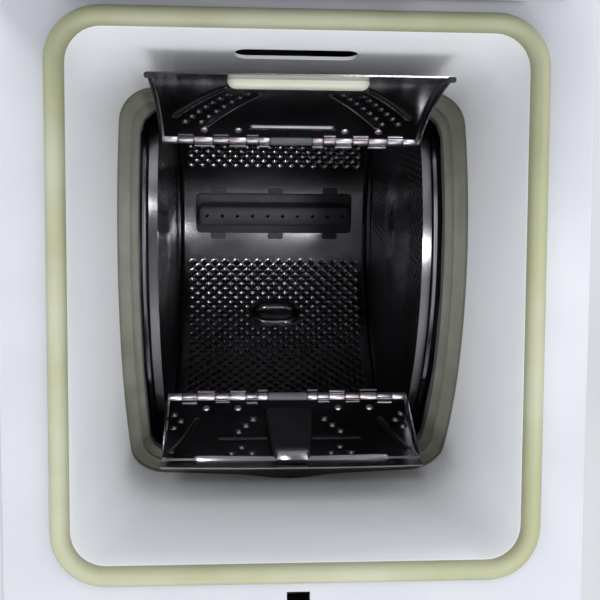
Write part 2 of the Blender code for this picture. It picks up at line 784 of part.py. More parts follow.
def bellows_loop(share, offset):
    """One loop of the bellows, at a share of its way down."""
    half_x = (1 - share) * FUNNEL_RIM_WIDTH / 2 + share * NECK_WIDTH / 2
    half_y = (1 - share) * FUNNEL_RIM_DEPTH / 2 + share * NECK_DEPTH / 2
    corner = (1 - share) * FUNNEL_RIM_CORNER + share * NECK_CORNER
    middle = (1 - share) * RIM_Y + share * NECK_Y
    outline = rounded(
        half_x + offset, half_y + offset, corner + offset, (DRUM_X, middle), FRONT_STEPS, SIDE_STEPS
    )
    radius = (1 - share) * BELLOWS_HIGH + share * BELLOWS_LOW
    return over_drum(outline, radius, front_dip(1.0 - share))


waves = ((0.0, 0.0), (0.25, 1.0), (0.5, -0.6), (0.75, 1.0), (1.0, 0.0))
bellows_loops = [bellows_loop(share, wave * BELLOWS_WAVE) for share, wave in waves]
for share, wave in waves[::-1]:
    bellows_loops.append(bellows_loop(share, wave * BELLOWS_WAVE + BELLOWS_WALL))
node("bellows", loft(bellows_loops, closed=True), GREY_RUBBER)

# Console with a sloping fascia
console_line = [
    (CONSOLE_Y, CONSOLE_LOW),
    (CONSOLE_Y, DECK + CONSOLE_FRONT),
    (CONSOLE_Y + CONSOLE_EDGE, DECK + CONSOLE_FRONT + CONSOLE_EDGE * 0.8),
    (HALF_DEPTH - CONSOLE_EDGE, DECK + CONSOLE_BACK),
    (HALF_DEPTH, DECK + CONSOLE_BACK - CONSOLE_EDGE * 0.8),
    (HALF_DEPTH, CONSOLE_LOW),
]
console = node("console_housing", prism(console_line, "X", -HALF_WIDTH, HALF_WIDTH), WHITE)
SLOPE_LOW = Vector((0.0, *console_line[2]))
SLOPE_HIGH = Vector((0.0, *console_line[3]))
UP_SLOPE = (SLOPE_HIGH - SLOPE_LOW).normalized()
OUT_SLOPE = Vector((1.0, 0.0, 0.0)).cross(UP_SLOPE)
SLOPE_MID = (SLOPE_LOW + SLOPE_HIGH) / 2
SLOPE_LENGTH = (SLOPE_HIGH - SLOPE_LOW).length
SLOPE_TURN = Matrix(
    ((1.0, 0.0, 0.0), (0.0, UP_SLOPE.y, OUT_SLOPE.y), (0.0, UP_SLOPE.z, OUT_SLOPE.z))
).to_4x4()
slope = bpy.data.objects.new("slope_frame", None)
bpy.context.scene.collection.objects.link(slope)
slope.matrix_world = Matrix.Translation(SLOPE_MID) @ SLOPE_TURN
hollow = [
    (CONSOLE_Y + CONSOLE_WALL, CONSOLE_LOW - 0.010),
    (CONSOLE_Y + CONSOLE_WALL, DECK + CONSOLE_FRONT - CONSOLE_WALL / 2),
    (HALF_DEPTH - CONSOLE_WALL, DECK + CONSOLE_BACK - CONSOLE_EDGE - CONSOLE_WALL),
    (HALF_DEPTH - CONSOLE_WALL, CONSOLE_LOW - 0.010),
]
cut(console, prism(hollow, "X", CONSOLE_WALL - HALF_WIDTH, HALF_WIDTH - CONSOLE_WALL), "hollow")
fascia_line = rounded(
    HALF_WIDTH - FASCIA_MARGIN, SLOPE_LENGTH / 2 - FASCIA_MARGIN, 0.008, bend=TIGHT_STEPS
)
fascia = node("console_fascia", prism(fascia_line, "Z", FIT, FIT + FASCIA), BLACK, slope)
for target in (fascia, console):
    holes = turned([(-0.020, KNOB_SHAFT + RUN), (0.010, KNOB_SHAFT + RUN)], "Z", (KNOB_X, 0.0), 12)
    for x in BUTTON_X:
        hole = rounded(
            BUTTON_WIDTH / 2 + RUN,
            BUTTON_DEPTH / 2 + RUN,
            BUTTON_CORNER + RUN,
            (x, 0.0),
            bend=TIGHT_STEPS,
        )
        prism(hole, "Z", -0.020, 0.010, bm=holes)
    if target is console:
        for vert in holes.verts:
            vert.co = slope.matrix_world @ vert.co
    cut(target, holes, "control_holes")
knob_profile = (
    (-0.012, KNOB_SHAFT),
    (FIT + FASCIA + RUN, KNOB_SHAFT),
    (FIT + FASCIA + RUN, KNOB_RADIUS),
    (FASCIA + 0.004, KNOB_RADIUS),
    (FASCIA + 0.006, KNOB_RADIUS * 0.82),
    (FASCIA + KNOB_HEIGHT - 0.002, KNOB_RADIUS * 0.76),
    (FASCIA + KNOB_HEIGHT, KNOB_RADIUS * 0.68),
)
knob = node("program_knob", turned(knob_profile, "Z", (KNOB_X, 0.0)), WHITE, slope)
pointer = box(
    (KNOB_X - 0.0015, KNOB_RADIUS * 0.35, FASCIA + KNOB_HEIGHT - 0.0015),
    (KNOB_X + 0.0015, KNOB_RADIUS * 0.9, FASCIA + KNOB_HEIGHT + 0.002),
)
cut(knob, pointer, "pointer")
for number, x in enumerate(BUTTON_X):
    loops = []
    crown = FASCIA + BUTTON_PROUD
    for inset, level in ((0.0, -BUTTON_STEM), (0.0, crown - 0.001), (0.001, crown)):
        edge = rounded(
            BUTTON_WIDTH / 2 - inset,
            BUTTON_DEPTH / 2 - inset,
            BUTTON_CORNER - inset,
            (x, 0.0),
            bend=TIGHT_STEPS,
        )
        loops.append(lay(edge, "Z", level))
    node(("start_button", "option_button")[number], loft(loops), WHITE, slope)


# Lid, built shut about its own hinge axis
def lid_line(inset):
    """The lid outline with its hinge tongue between the blocks."""
    wide = HALF_WIDTH - 0.001 - inset
    front = -HALF_DEPTH + 0.001 + inset - LID_Y
    wing = -HINGE_BLOCK_RADIUS - LID_WING_GAP - inset
    tongue = LID_TONGUE_WIDTH / 2 - inset
    back = LID_TONGUE_BEHIND - inset
    radius = LID_CORNER - inset
    points = [(wide, wing), (tongue, wing), (tongue, back)]
    points += [(-tongue, back), (-tongue, wing), (-wide, wing)]
    for sx, start in ((-1, pi), (1, 1.5 * pi)):
        for k in range(CORNER_STEPS + 1):
            angle = start + pi / 2 * k / CORNER_STEPS
            points.append(
                (sx * (wide - radius) + radius * cos(angle), front + radius + radius * sin(angle))
            )
    return points


LID_LOW = DECK + LID_GAP - LID_Z
LID_TOP = DECK + LID_HEIGHT - LID_Z
lid_loops = []
for inset, level in (
    (0.005, LID_TOP),
    (0.0015, LID_TOP - 0.003),
    (0.0, LID_TOP - 0.007),
    (0.0, LID_LOW),
    (LID_WALL, LID_LOW),
    (LID_WALL, LID_TOP - LID_WALL - 0.004),
    (0.006, LID_TOP - LID_WALL),
):
    lid_loops.append(lay(lid_line(inset), "Z", level))
lid = node("lid_shell", loft(lid_loops), WHITE, lid_axis)
pins = bmesh.new()
for side in (-1, 1):
    root = side * (LID_TONGUE_WIDTH / 2 - LID_WALL / 2)
    tip = side * (LID_TONGUE_WIDTH / 2 + HINGE_BLOCK_WIDTH - 0.003)
    turned(
        [(level, LID_PIN_RADIUS) for level in sorted((root, tip))], "X", (0.0, 0.0), 12, bm=pins
    )
fuse(lid, pins, "hinge_pins")
HOOK_Y = (LOCK_FRONT + LOCK_BACK) / 2 - LID_Y
hook_line = [
    (HOOK_Y - 0.003, LID_TOP - LID_WALL / 2),
    (HOOK_Y - 0.003, DECK - HOOK_LENGTH * 0.5 - LID_Z),
    (HOOK_Y - 0.006, DECK - HOOK_LENGTH * 0.65 - LID_Z),
    (HOOK_Y, DECK - HOOK_LENGTH - LID_Z),
    (HOOK_Y + 0.003, DECK - HOOK_LENGTH - LID_Z),
    (HOOK_Y + 0.003, LID_TOP - LID_WALL / 2),
]
fuse(lid, prism(hook_line, "X", -HOOK_WIDTH / 2, HOOK_WIDTH / 2), "hook")
LINER_LOW = DECK + GASKET_HEIGHT + FIT - LID_Z
liner_loops = []
for inset, level in (
    (0.003, LINER_LOW),
    (0.0, LINER_LOW + 0.003),
    (0.0, LID_TOP - LID_WALL - FIT),
    (LID_WALL, LID_TOP - LID_WALL - FIT),
    (LID_WALL, LINER_LOW + LID_WALL),
):
    edge = mouth(GASKET_WIDTH + 0.001 - inset)
    liner_loops.append([(x, y - LID_Y, level) for x, y in edge])
node("lid_liner", loft(liner_loops), WHITE, lid_axis)
TRAY_TOP = LINER_LOW - FIT
TRAY_BACK = -TRAY_FROM_HINGE
tray = node(
    "detergent_tray",
    box(
        (-TRAY_WIDTH / 2, TRAY_BACK - TRAY_LENGTH, TRAY_TOP - TRAY_DEPTH),
        (TRAY_WIDTH / 2, TRAY_BACK, TRAY_TOP),
    ),
    WHITE,
    lid_axis,
)
pockets = bmesh.new()
POCKET = (TRAY_WIDTH - 4 * TRAY_WALL) / 3
for number in range(3):
    left = -TRAY_WIDTH / 2 + TRAY_WALL + number * (POCKET + TRAY_WALL)
    box(
        (left, TRAY_BACK - TRAY_LENGTH - 0.010, TRAY_TOP - TRAY_DEPTH + TRAY_WALL),
        (left + POCKET, TRAY_BACK - TRAY_WALL, TRAY_TOP - TRAY_WALL),
        bm=pockets,
    )
cut(tray, pockets, "pockets")

# Tub shell with its neck, damper feet and sump outlet
AXIS = (AXIS_Y, AXIS_Z)
TUB_LEFT = DRUM_X - TUB_HALF
TUB_RIGHT = DRUM_X + TUB_HALF
shell_profile = ((TUB_LEFT, TUB_IN), (TUB_LEFT, TUB_OUT), (TUB_RIGHT, TUB_OUT), (TUB_RIGHT, TUB_IN))
tub = node("tub_shell", turned(shell_profile, "X", AXIS, TUB_STEPS, bored=True), TUB_PLASTIC)


def neck(offset):
    """The outline of the tub neck, grown by an offset."""
    return rounded(
        NECK_WIDTH / 2 + offset,
        NECK_DEPTH / 2 + offset,
        NECK_CORNER + offset,
        (DRUM_X, NECK_Y),
        FRONT_STEPS,
        SIDE_STEPS,
    )


cut(tub, prism(neck(COLLAR_WALL / 2), "Z", AXIS_Z, AXIS_Z + FUNNEL_RADIUS), "neck_hole")
collar_loops = [
    over_drum(neck(0.0), TUB_IN + TUB_WALL * 0.3),
    over_drum(neck(0.0), COLLAR_TOP),
    over_drum(neck(COLLAR_WALL), COLLAR_TOP),
    over_drum(neck(COLLAR_WALL), TUB_IN + TUB_WALL * 0.3),
]
fuse(tub, loft(collar_loops, closed=True), "collar")
DAMPER_Y = AXIS_Y - DAMPER_FORWARD
DAMPER_FOOT_Z = AXIS_Z - sqrt(TUB_OUT**2 - DAMPER_FORWARD**2) - DAMPER_FOOT
feet = bmesh.new()
for side in (-1, 1):
    foot_line = [(DAMPER_Y + DAMPER_FOOT, DAMPER_FOOT_Z), (DAMPER_Y - DAMPER_FOOT, DAMPER_FOOT_Z)]
    for k in range(5):
        y = DAMPER_FORWARD + DAMPER_FOOT * (1 - k / 2)
        mid = TUB_OUT - TUB_WALL / 2
        foot_line.append((AXIS_Y - y, AXIS_Z - sqrt(mid * mid - y * y)))
    x = DRUM_X + side * DAMPER_X
    prism(foot_line, "X", x - DAMPER_FOOT, x + DAMPER_FOOT, bm=feet)
fuse(tub, feet, "damper_feet")
SUMP_Y = BASE_FRONT + SUMP_BACK
sump_line = circle((PUMP_X, SUMP_Y), SUMP_RADIUS, 12)
SUMP_MID = TUB_OUT - TUB_WALL / 2
sump_top = [(x, y, AXIS_Z - sqrt(SUMP_MID**2 - (y - AXIS_Y) ** 2)) for x, y in sump_line]
SUMP_NEAR = SUMP_Y - AXIS_Y + SUMP_RADIUS + HOSE_WALL + HOSE_WAVE
SUMP_END = AXIS_Z - sqrt(TUB_OUT**2 - SUMP_NEAR**2) - SUMP_DROP
fuse(tub, loft([lay(sump_line, "Z", SUMP_END), sump_top]), "sump")
sump_bore = turned(
    [(SUMP_END - 0.010, SUMP_RADIUS - 0.003), (SUMP_END + 0.090, SUMP_RADIUS - 0.003)],
    "Z",
    (PUMP_X, SUMP_Y),
    12,
)
cut(tub, sump_bore, "sump_bore")

# Tub ends with hub, ribs and spring lug, and the bearings in them
for side, label in ((-1, "left"), (1, "right")):

    def across(reach, side=side):
        """A place along the drum axis, out from its middle."""
        return DRUM_X + side * reach

    face = TUB_HALF + FIT
    back = face + TUB_WALL
    seat = back + HUB_LENGTH - BEARING_WIDTH - 0.002
    profile = [
        (face, SHAFT_RADIUS + LOOSE),
        (face, TUB_OUT + FIT),
        (face - 0.008, TUB_OUT + FIT),
        (face - 0.008, TUB_OUT + TUB_WALL),
        (back, TUB_OUT + TUB_WALL),
        (back, HUB_RADIUS),
        (back + HUB_LENGTH, HUB_RADIUS - 0.006),
        (back + HUB_LENGTH, BEARING_RADIUS + FIT),
        (seat, BEARING_RADIUS + FIT),
        (seat, SHAFT_RADIUS + LOOSE),
    ]
    profile = [(across(reach), radius) for reach, radius in profile]
    end = node("tub_" + label + "_end", turned(profile, "X", AXIS, TUB_STEPS, bored=True), TUB_PLASTIC)
    ribs = bmesh.new()
    for number in range(6):
        turn = tau * (number + 0.5) / 6
        start = HUB_RADIUS - 0.004
        stop = TUB_OUT - 0.004
        rib = []
        for radius, shift in ((start, -1), (stop, -1), (stop, 1), (start, 1)):
            y, z = polar(turn, radius)
            rib.append(
                (
                    AXIS_Y + y + shift * RIB_WIDTH / 2 * cos(turn),
                    AXIS_Z + z + shift * RIB_WIDTH / 2 * sin(turn),
                )
            )
        levels = sorted((across(back - TUB_WALL / 2), across(back + RIB_HEIGHT)))
        prism(rib, "X", levels[0], levels[1], bm=ribs)
    fuse(end, ribs, "ribs")
    low = AXIS_Z + SPRING_LOW
    levels = sorted((across(back - TUB_WALL / 2), side * (SPRING_X + SPRING_RADIUS * 0.6)))
    lug_low = (levels[0], AXIS_Y - LUG_HALF, low)
    lug_high = (levels[1], AXIS_Y + LUG_HALF, low + LUG_PLATE)
    fuse(end, box(lug_low, lug_high), "lug")
    eye = turned(
        [(low - 0.010, SPRING_WIRE + LOOSE), (low + 0.010, SPRING_WIRE + LOOSE)],
        "Z",
        (side * SPRING_X, AXIS_Y),
        8,
    )
    cut(end, eye, "eye")
    race = [
        (across(seat + FIT), SHAFT_RADIUS + FIT),
        (across(seat + FIT), BEARING_RADIUS),
        (across(seat + FIT + BEARING_WIDTH), BEARING_RADIUS),
        (across(seat + FIT + BEARING_WIDTH), SHAFT_RADIUS + FIT),
    ]
    node(label + "_bearing", turned(race, "X", AXIS, bored=True), DARK_STEEL)
    spring_bend = SPRING_WIRE + FIT
    bottom = low - spring_bend
    top = AXIS_Z + SPRING_HIGH + spring_bend
    coil_low = low + 0.016
    coil_high = AXIS_Z + SPRING_HIGH - 0.020
    middle = Vector((side * SPRING_X, AXIS_Y, 0.0))
    path = [middle + Vector((0.0, -0.009, bottom)), middle + Vector((0.0, -0.0025, bottom))]
    path += [middle + Vector((0.0, 0.0, bottom + 0.0025)), middle + Vector((0.0, 0.0, low + 0.010))]
    steps = SPRING_TURNS * COIL_STEPS
    for k in range(steps + 1):
        turn = tau * k / COIL_STEPS
        spread = SPRING_RADIUS * min(1.0, (k + 1) / 4, (steps - k + 1) / 4)
        height = coil_low + (coil_high - coil_low) * k / steps
        path.append(middle + Vector((-side * spread * cos(turn), spread * sin(turn), height)))
    path += [middle + Vector((0.0, 0.0, coil_high + 0.006)), middle + Vector((0.0, 0.0, top - 0.0025))]
    path += [middle + Vector((0.0, -0.0025, top)), middle + Vector((0.0, -0.009, top))]
    node(label + "_spring", tube(path, SPRING_WIRE, 4), DARK_STEEL)

# Friction dampers between the base and the tub
for side, label in ((-1, "left"), (1, "right")):
    spot = (DRUM_X + side * DAMPER_X, DAMPER_Y)
    sleeve = (
        (FLOOR + FIT, DAMPER_RADIUS),
        (DAMPER_TOP, DAMPER_RADIUS),
        (DAMPER_TOP, DAMPER_ROD_RADIUS + FIT),
        (FLOOR + 0.010, DAMPER_ROD_RADIUS + FIT),
    )
    node(label + "_damper", turned(sleeve, "Z", spot, 16), GREY)
    rod = (
        (FLOOR + 0.010 + 2 * TUB_FLOAT, DAMPER_ROD_RADIUS),
        (DAMPER_FOOT_Z - 0.006, DAMPER_ROD_RADIUS),
        (DAMPER_FOOT_Z - 0.006, DAMPER_RADIUS),
        (DAMPER_FOOT_Z - FIT, DAMPER_RADIUS),
    )
    node(label + "_damper_rod", turned(rod, "Z", spot, 12), DARK_STEEL)


# Counterweights bolted to the tub
def sector(start, stop, low, high, steps=6):
    """A slice of a ring about the drum axis."""
    points = []
    for radius, order in ((low, range(steps + 1)), (high, range(steps, -1, -1))):
        for k in order:
            y, z = polar(start + (stop - start) * k / steps, radius)
            points.append((AXIS_Y + y, AXIS_Z + z))
    return points


rear_weight = sector(radians(-37), radians(-63), TUB_OUT + RUN, TUB_OUT + WEIGHT_THICKNESS)
front_weight = sector(radians(96), radians(122), TUB_OUT + RUN, TUB_OUT + WEIGHT_THICKNESS * 0.7)
WEIGHT_X = (DRUM_X - WEIGHT_LENGTH / 2, DRUM_X + WEIGHT_LENGTH / 2)
node("rear_counterweight", prism(rear_weight, "X", *WEIGHT_X), IRON)
node("front_counterweight", prism(front_weight, "X", *WEIGHT_X), IRON)

# Motor hung under the tub, its pulley, the drum pulley and the belt
PULLEY_NEAR = TUB_HALF + FIT + TUB_WALL + HUB_LENGTH + 0.002
PULLEY_FAR = PULLEY_NEAR + PULLEY_WIDTH
MOTOR_SPAN = TUB_OUT + MOTOR_GAP + MOTOR_RADIUS
MOTOR = (AXIS_Y + MOTOR_SPAN * sin(MOTOR_LEAN), AXIS_Z - MOTOR_SPAN * cos(MOTOR_LEAN))
MOTOR_FACE = DRUM_X + PULLEY_NEAR - 0.022
motor_profile = (
    (MOTOR_FACE - MOTOR_LENGTH, MOTOR_RADIUS * 0.7),
    (MOTOR_FACE - MOTOR_LENGTH + 0.012, MOTOR_RADIUS * 0.95),
    (MOTOR_FACE - MOTOR_LENGTH + 0.014, MOTOR_RADIUS),
    (MOTOR_FACE - 0.014, MOTOR_RADIUS),
    (MOTOR_FACE - 0.012, MOTOR_RADIUS * 0.95),
    (MOTOR_FACE, MOTOR_RADIUS * 0.5),
)
motor = node("drive_motor", turned(motor_profile, "X", MOTOR), ALLOY)
span_y = AXIS_Y - MOTOR[0]
span_z = AXIS_Z - MOTOR[1]
span = hypot(span_y, span_z)
along = (span_y / span, span_z / span)
ear_line = []
for k in range(7):
    lean = 0.022 * (1 - 2 * k / 6)
    radius = TUB_OUT + RUN
    reach = span - sqrt(radius * radius - lean * lean)
    ear_line.append(
        (MOTOR[0] + along[0] * reach - along[1] * lean, MOTOR[1] + along[1] * reach + along[0] * lean)
    )
for lean in (-0.022, 0.022):
    reach = MOTOR_RADIUS * 0.85
    ear_line.append(
        (MOTOR[0] + along[0] * reach - along[1] * lean, MOTOR[1] + along[1] * reach + along[0] * lean)
    )
fuse(motor, prism(ear_line, "X", MOTOR_FACE - 0.080, MOTOR_FACE - 0.030), "ear")
small = MOTOR_PULLEY_RADIUS
pulley_mid = DRUM_X + (PULLEY_NEAR + PULLEY_FAR) / 2
wall = BELT_WIDTH / 2 + RUN
motor_pulley_profile = (
    (MOTOR_FACE + RUN, 0.006),
    (pulley_mid - wall - 0.002, 0.006),
    (pulley_mid - wall - 0.002, small + 0.002),
    (pulley_mid - wall, small + 0.002),
    (pulley_mid - wall, small),
    (pulley_mid + wall, small),
    (pulley_mid + wall, small + 0.002),
    (pulley_mid + wall + 0.002, small + 0.002),
)
node("motor_pulley", turned(motor_pulley_profile, "X", MOTOR, 12), ALLOY)
BELT_FIT = 2 * FIT


def belt_loop(grow, level):
    """The belt line round both pulleys, grown outwards."""
    big = PULLEY_RADIUS + grow
    little = MOTOR_PULLEY_RADIUS + grow
    heading = atan2(-along[1], -along[0])
    lean = asin((big - little) / span)
    points = []
    for k in range(23):
        turn = heading + pi / 2 - lean + (pi + 2 * lean) * k / 22
        points.append((AXIS_Y + big * cos(turn), AXIS_Z + big * sin(turn)))
    for k in range(9):
        turn = heading - pi / 2 + lean + (pi - 2 * lean) * k / 8
        points.append((MOTOR[0] + little * cos(turn), MOTOR[1] + little * sin(turn)))
    return lay(points, "X", level)


belt_low = pulley_mid - BELT_WIDTH / 2
belt_high = pulley_mid + BELT_WIDTH / 2
BELT_OUT = BELT_FIT + BELT_THICKNESS
belt_loops = [
    belt_loop(BELT_FIT, belt_low),
    belt_loop(BELT_OUT, belt_low),
    belt_loop(BELT_OUT, belt_high),
    belt_loop(BELT_FIT, belt_high),
]
node("drive_belt", loft(belt_loops, closed=True), BLACK)
web = PULLEY_WIDTH * 0.36
pulley_profile = (
    (PULLEY_NEAR, SHAFT_RADIUS + FIT),
    (PULLEY_NEAR, SHAFT_RADIUS + 0.018),
    (PULLEY_NEAR + web, SHAFT_RADIUS + 0.022),
    (PULLEY_NEAR + web, PULLEY_RADIUS - 0.012),
    (PULLEY_NEAR, PULLEY_RADIUS - 0.008),
    (PULLEY_NEAR, PULLEY_RADIUS),
    (PULLEY_FAR, PULLEY_RADIUS),
    (PULLEY_FAR, PULLEY_RADIUS - 0.008),
    (PULLEY_FAR - web, PULLEY_RADIUS - 0.012),
    (PULLEY_FAR - web, SHAFT_RADIUS + 0.022),
    (PULLEY_FAR, SHAFT_RADIUS + 0.018),
    (PULLEY_FAR, SHAFT_RADIUS + FIT),
)
pulley = node(
    "drum_pulley", turned(pulley_profile, "X", (0.0, 0.0), ROUND_STEPS, bored=True), ALLOY, drum_axis
)
windows = bmesh.new()
for number in range(5):
    spot = polar(tau * number / 5, (PULLEY_RADIUS + SHAFT_RADIUS + 0.010) / 2)
    turned(
        [(PULLEY_NEAR - 0.010, 0.024), (PULLEY_FAR + 0.010, 0.024)], "X", spot, 8, bm=windows
    )
cut(pulley, windows, "windows")

# Drain pump with its filter, and the hose from the sump
PUMP_FRONT = BASE_FRONT + BASE_WALL + FIT
PUMP_BACK = PUMP_FRONT + PUMP_LENGTH
pump_profile = (
    (PUMP_BACK, PUMP_RADIUS * 0.7),
    (PUMP_BACK - 0.004, PUMP_RADIUS),
    (PUMP_FRONT, PUMP_RADIUS),
    (PUMP_FRONT, FILTER_RADIUS + RUN),
    (PUMP_FRONT + FILTER_DEPTH + 0.004, FILTER_RADIUS + RUN),
)
pump = node("drain_pump", turned(pump_profile, "Y", (PUMP_X, PUMP_Z)), BLACK)
stand = box(
    (PUMP_X - 0.020, PUMP_FRONT + 0.064, FLOOR + FIT),
    (PUMP_X + 0.020, PUMP_BACK - 0.010, PUMP_Z - PUMP_RADIUS * 0.6),
)
fuse(pump, stand, "stand")
HOSE_LOW = PUMP_Z + PUMP_RADIUS + 0.004
inlet = turned(
    [(PUMP_Z + PUMP_RADIUS * 0.72, SUMP_RADIUS), (HOSE_LOW + 0.016, SUMP_RADIUS)],
    "Z",
    (PUMP_X, SUMP_Y),
    12,
)
fuse(pump, inlet, "inlet")
HOSE_HIGH = SUMP_END + SUMP_DROP - 0.003
hose_in = SUMP_RADIUS + FIT
hose_out = hose_in + HOSE_WALL
hose_profile = [(HOSE_LOW, hose_in), (HOSE_LOW, hose_out), (HOSE_LOW + HOSE_CUFF - 0.002, hose_out)]
for k in range(2 * HOSE_BENDS + 1):
    level = HOSE_LOW + HOSE_CUFF + (HOSE_HIGH - HOSE_LOW - 2 * HOSE_CUFF) * k / (2 * HOSE_BENDS)
    hose_profile.append((level, hose_out + (HOSE_WAVE if k % 2 else 0.0)))
hose_profile += [(HOSE_HIGH, hose_out), (HOSE_HIGH, hose_in)]
hose = turned(hose_profile, "Z", (PUMP_X, SUMP_Y), 12, bored=True)
node("sump_hose", hose, GREY_RUBBER)
filter_axis = pivot("filter_axis", (PUMP_X, PUMP_FRONT, PUMP_Z))
filter_profile = (
    (FILTER_DEPTH, FILTER_RADIUS),
    (-RUN, FILTER_RADIUS),
    (-RUN, FILTER_FLANGE),
    (-0.0042, FILTER_FLANGE),
)
cap = node("filter_cap", turned(filter_profile, "Y", (0.0, 0.0)), GREY, filter_axis)
grip_front = PLINTH_Y + BASE_WALL + LOOSE - PUMP_FRONT
fuse(cap, box((-0.004, grip_front, -0.020), (0.004, -0.003, 0.020)), "grip")

# Water valve behind the rear panel, its port let through
VALVE_FACE = RECESS_Y - PANEL - FIT
valve_low = (VALVE_X - VALVE_SIZE / 2, VALVE_FACE - VALVE_SIZE, VALVE_Z - VALVE_SIZE / 2)
valve_high = (VALVE_X + VALVE_SIZE / 2, VALVE_FACE, VALVE_Z + VALVE_SIZE / 2)
valve = node("water_valve", box(valve_low, valve_high), WHITE)
PORT_END = HALF_DEPTH - PANEL
port_profile = (
    (VALVE_FACE - 0.005, VALVE_PORT),
    (PORT_END, VALVE_PORT),
    (PORT_END, VALVE_BORE),
    (VALVE_FACE + 0.002, VALVE_BORE),
)
fuse(valve, turned(port_profile, "Y", (VALVE_X, VALVE_Z), 16), "port")

# Drum wrapper: a rolled sheet with swaged edges and a window for the flaps
HALF_DRUM = DRUM_WIDTH / 2
SWAGE_OUT = HALF_DRUM - SWAGE_INSET
SWAGE_IN = SWAGE_OUT - SWAGE_WIDTH
rim_line = [
    (HALF_DRUM, SHEET_OUT),
    (SWAGE_OUT, SHEET_OUT),
    ((SWAGE_OUT + SWAGE_IN) / 2, SHEET_OUT - SWAGE_DEPTH),
    (SWAGE_IN, SHEET_OUT),
    (OPENING_WIDTH / 2, SHEET_OUT),
]
wrapper_bm = bmesh.new()


def sweep(line, start, stop, steps):
    """Roll a line of the sheet round part of the drum."""
    chain = []
    for x, radius in line:
        chain.append(wrapper_bm.verts.new((x, *polar(start, radius))))
    edges = [wrapper_bm.edges.new(pair) for pair in zip(chain, chain[1:])]
    bmesh.ops.spin(
        wrapper_bm,
        geom=chain + edges,
        cent=(0.0, 0.0, 0.0),
        axis=(1.0, 0.0, 0.0),
        angle=stop - start,
        steps=steps,
    )


mirror_line = [(-x, radius) for x, radius in rim_line]
sweep(rim_line + mirror_line[::-1], WINDOW, tau - WINDOW, DRUM_STEPS)
sweep(rim_line, -WINDOW, WINDOW, WINDOW_STEPS)
sweep(mirror_line, -WINDOW, WINDOW, WINDOW_STEPS)
bmesh.ops.remove_doubles(wrapper_bm, verts=wrapper_bm.verts[:], dist=0.00005)
wrapper_bm.normal_update()
inward = []
for face in wrapper_bm.faces:
    middle = face.calc_center_median()
    if face.normal.y * middle.y + face.normal.z * middle.z < 0.0:
        inward.append(face)
bmesh.ops.reverse_faces(wrapper_bm, faces=inward)
wrapper = node("drum_wrapper", wrapper_bm, STEEL, drum_axis)
thick = wrapper.modifiers.new("sheet", "SOLIDIFY")
thick.thickness = DRUM_SHEET
thick.offset = -1.0
thick.use_even_offset = True

# Hinge eyes on the drum and on the flaps, pins and sleeves
EYE_SPANS = []
reach = SLEEVE_LENGTH / 2 + HINGE_EYE_GAP
for number, length in enumerate(HINGE_EYES):
    EYE_SPANS.append((reach, reach + length, number % 2))
    reach += length + HINGE_EYE_GAP
HINGE_HALF = reach
SPANS = [(-high, -low, kind) for low, high, kind in EYE_SPANS[::-1]] + EYE_SPANS


def leaf(pin_angle, heading, kind, low, high):
    """A hinge leaf bent on the drum, with a finger at each of its own eyes."""
    spans = [(a, b) for a, b, which in SPANS if which == kind]
    near = ROOT_GAP + RUN
    tip = (HINGE_EYE_RADIUS + HINGE_PIN_RADIUS) / 2 + FIT / 2
    left = spans[0][0]
    right = spans[-1][1]
    points = []
    for a, b in spans:
        if a > left:
            points.append((a, near))
        points += [(a, tip), (b, tip)]
        if b < right:
            points.append((b, near))
    points += [(right, HINGE_LEAF_REACH), (left, HINGE_LEAF_REACH)]
    loops = []
    for radius in (low, high):
        loop = []
        for x, away in points:
            y, z = polar(pin_angle + heading * away / DRUM_RADIUS, radius)
            loop.append((x, y, z))
        loops.append(loop)
    return loft(loops)


EYE_BORE = (HINGE_PIN_RADIUS + FIT) / cos(pi / EYE_STEPS)


def eyes(pin_angle, kind):
    """Rolled eyes along one hinge."""
    spot = polar(pin_angle, DRUM_RADIUS)
    bm = bmesh.new()
    for low, high, which in SPANS:
        if which == kind:
            bore = EYE_BORE
            profile = ((low, bore), (low, HINGE_EYE_RADIUS), (high, HINGE_EYE_RADIUS), (high, bore))
            turned(profile, "X", spot, EYE_STEPS, bored=True, bm=bm)
    return bm


def moved(bm, place):
    """Shift a mesh so that a place on the drum becomes its origin."""
    bmesh.ops.translate(bm, verts=bm.verts[:], vec=(0.0, -place[0], -place[1]))
    return bm


LEAF_LOW = SHEET_OUT - DRUM_SHEET / 3
LEAF_HIGH = DRUM_RADIUS + HINGE_LEAF / 2
for label, angle, heading in (("rear", -OPENING_HALF_ANGLE, -1), ("front", OPENING_HALF_ANGLE, 1)):
    strip = fuse(wrapper, leaf(angle, heading, 0, LEAF_LOW, LEAF_HIGH), label + "_leaf")
    fuse(strip, eyes(angle, 0), "eyes")
    spot = polar(angle, DRUM_RADIUS)
    pin = ((-HINGE_HALF, HINGE_PIN_RADIUS), (HINGE_HALF, HINGE_PIN_RADIUS))
    node(label + "_hinge_pin", turned(pin, "X", spot, EYE_STEPS), DARK_STEEL, drum_axis)
    half = SLEEVE_LENGTH / 2
    bore = HINGE_PIN_RADIUS + FIT
    sleeve = ((-half, bore), (-half, SLEEVE_RADIUS), (half, SLEEVE_RADIUS), (half, bore))
    sleeve_bm = turned(sleeve, "X", spot, 12, bored=True)
    node(label + "_spring_sleeve", sleeve_bm, GREY, drum_axis)

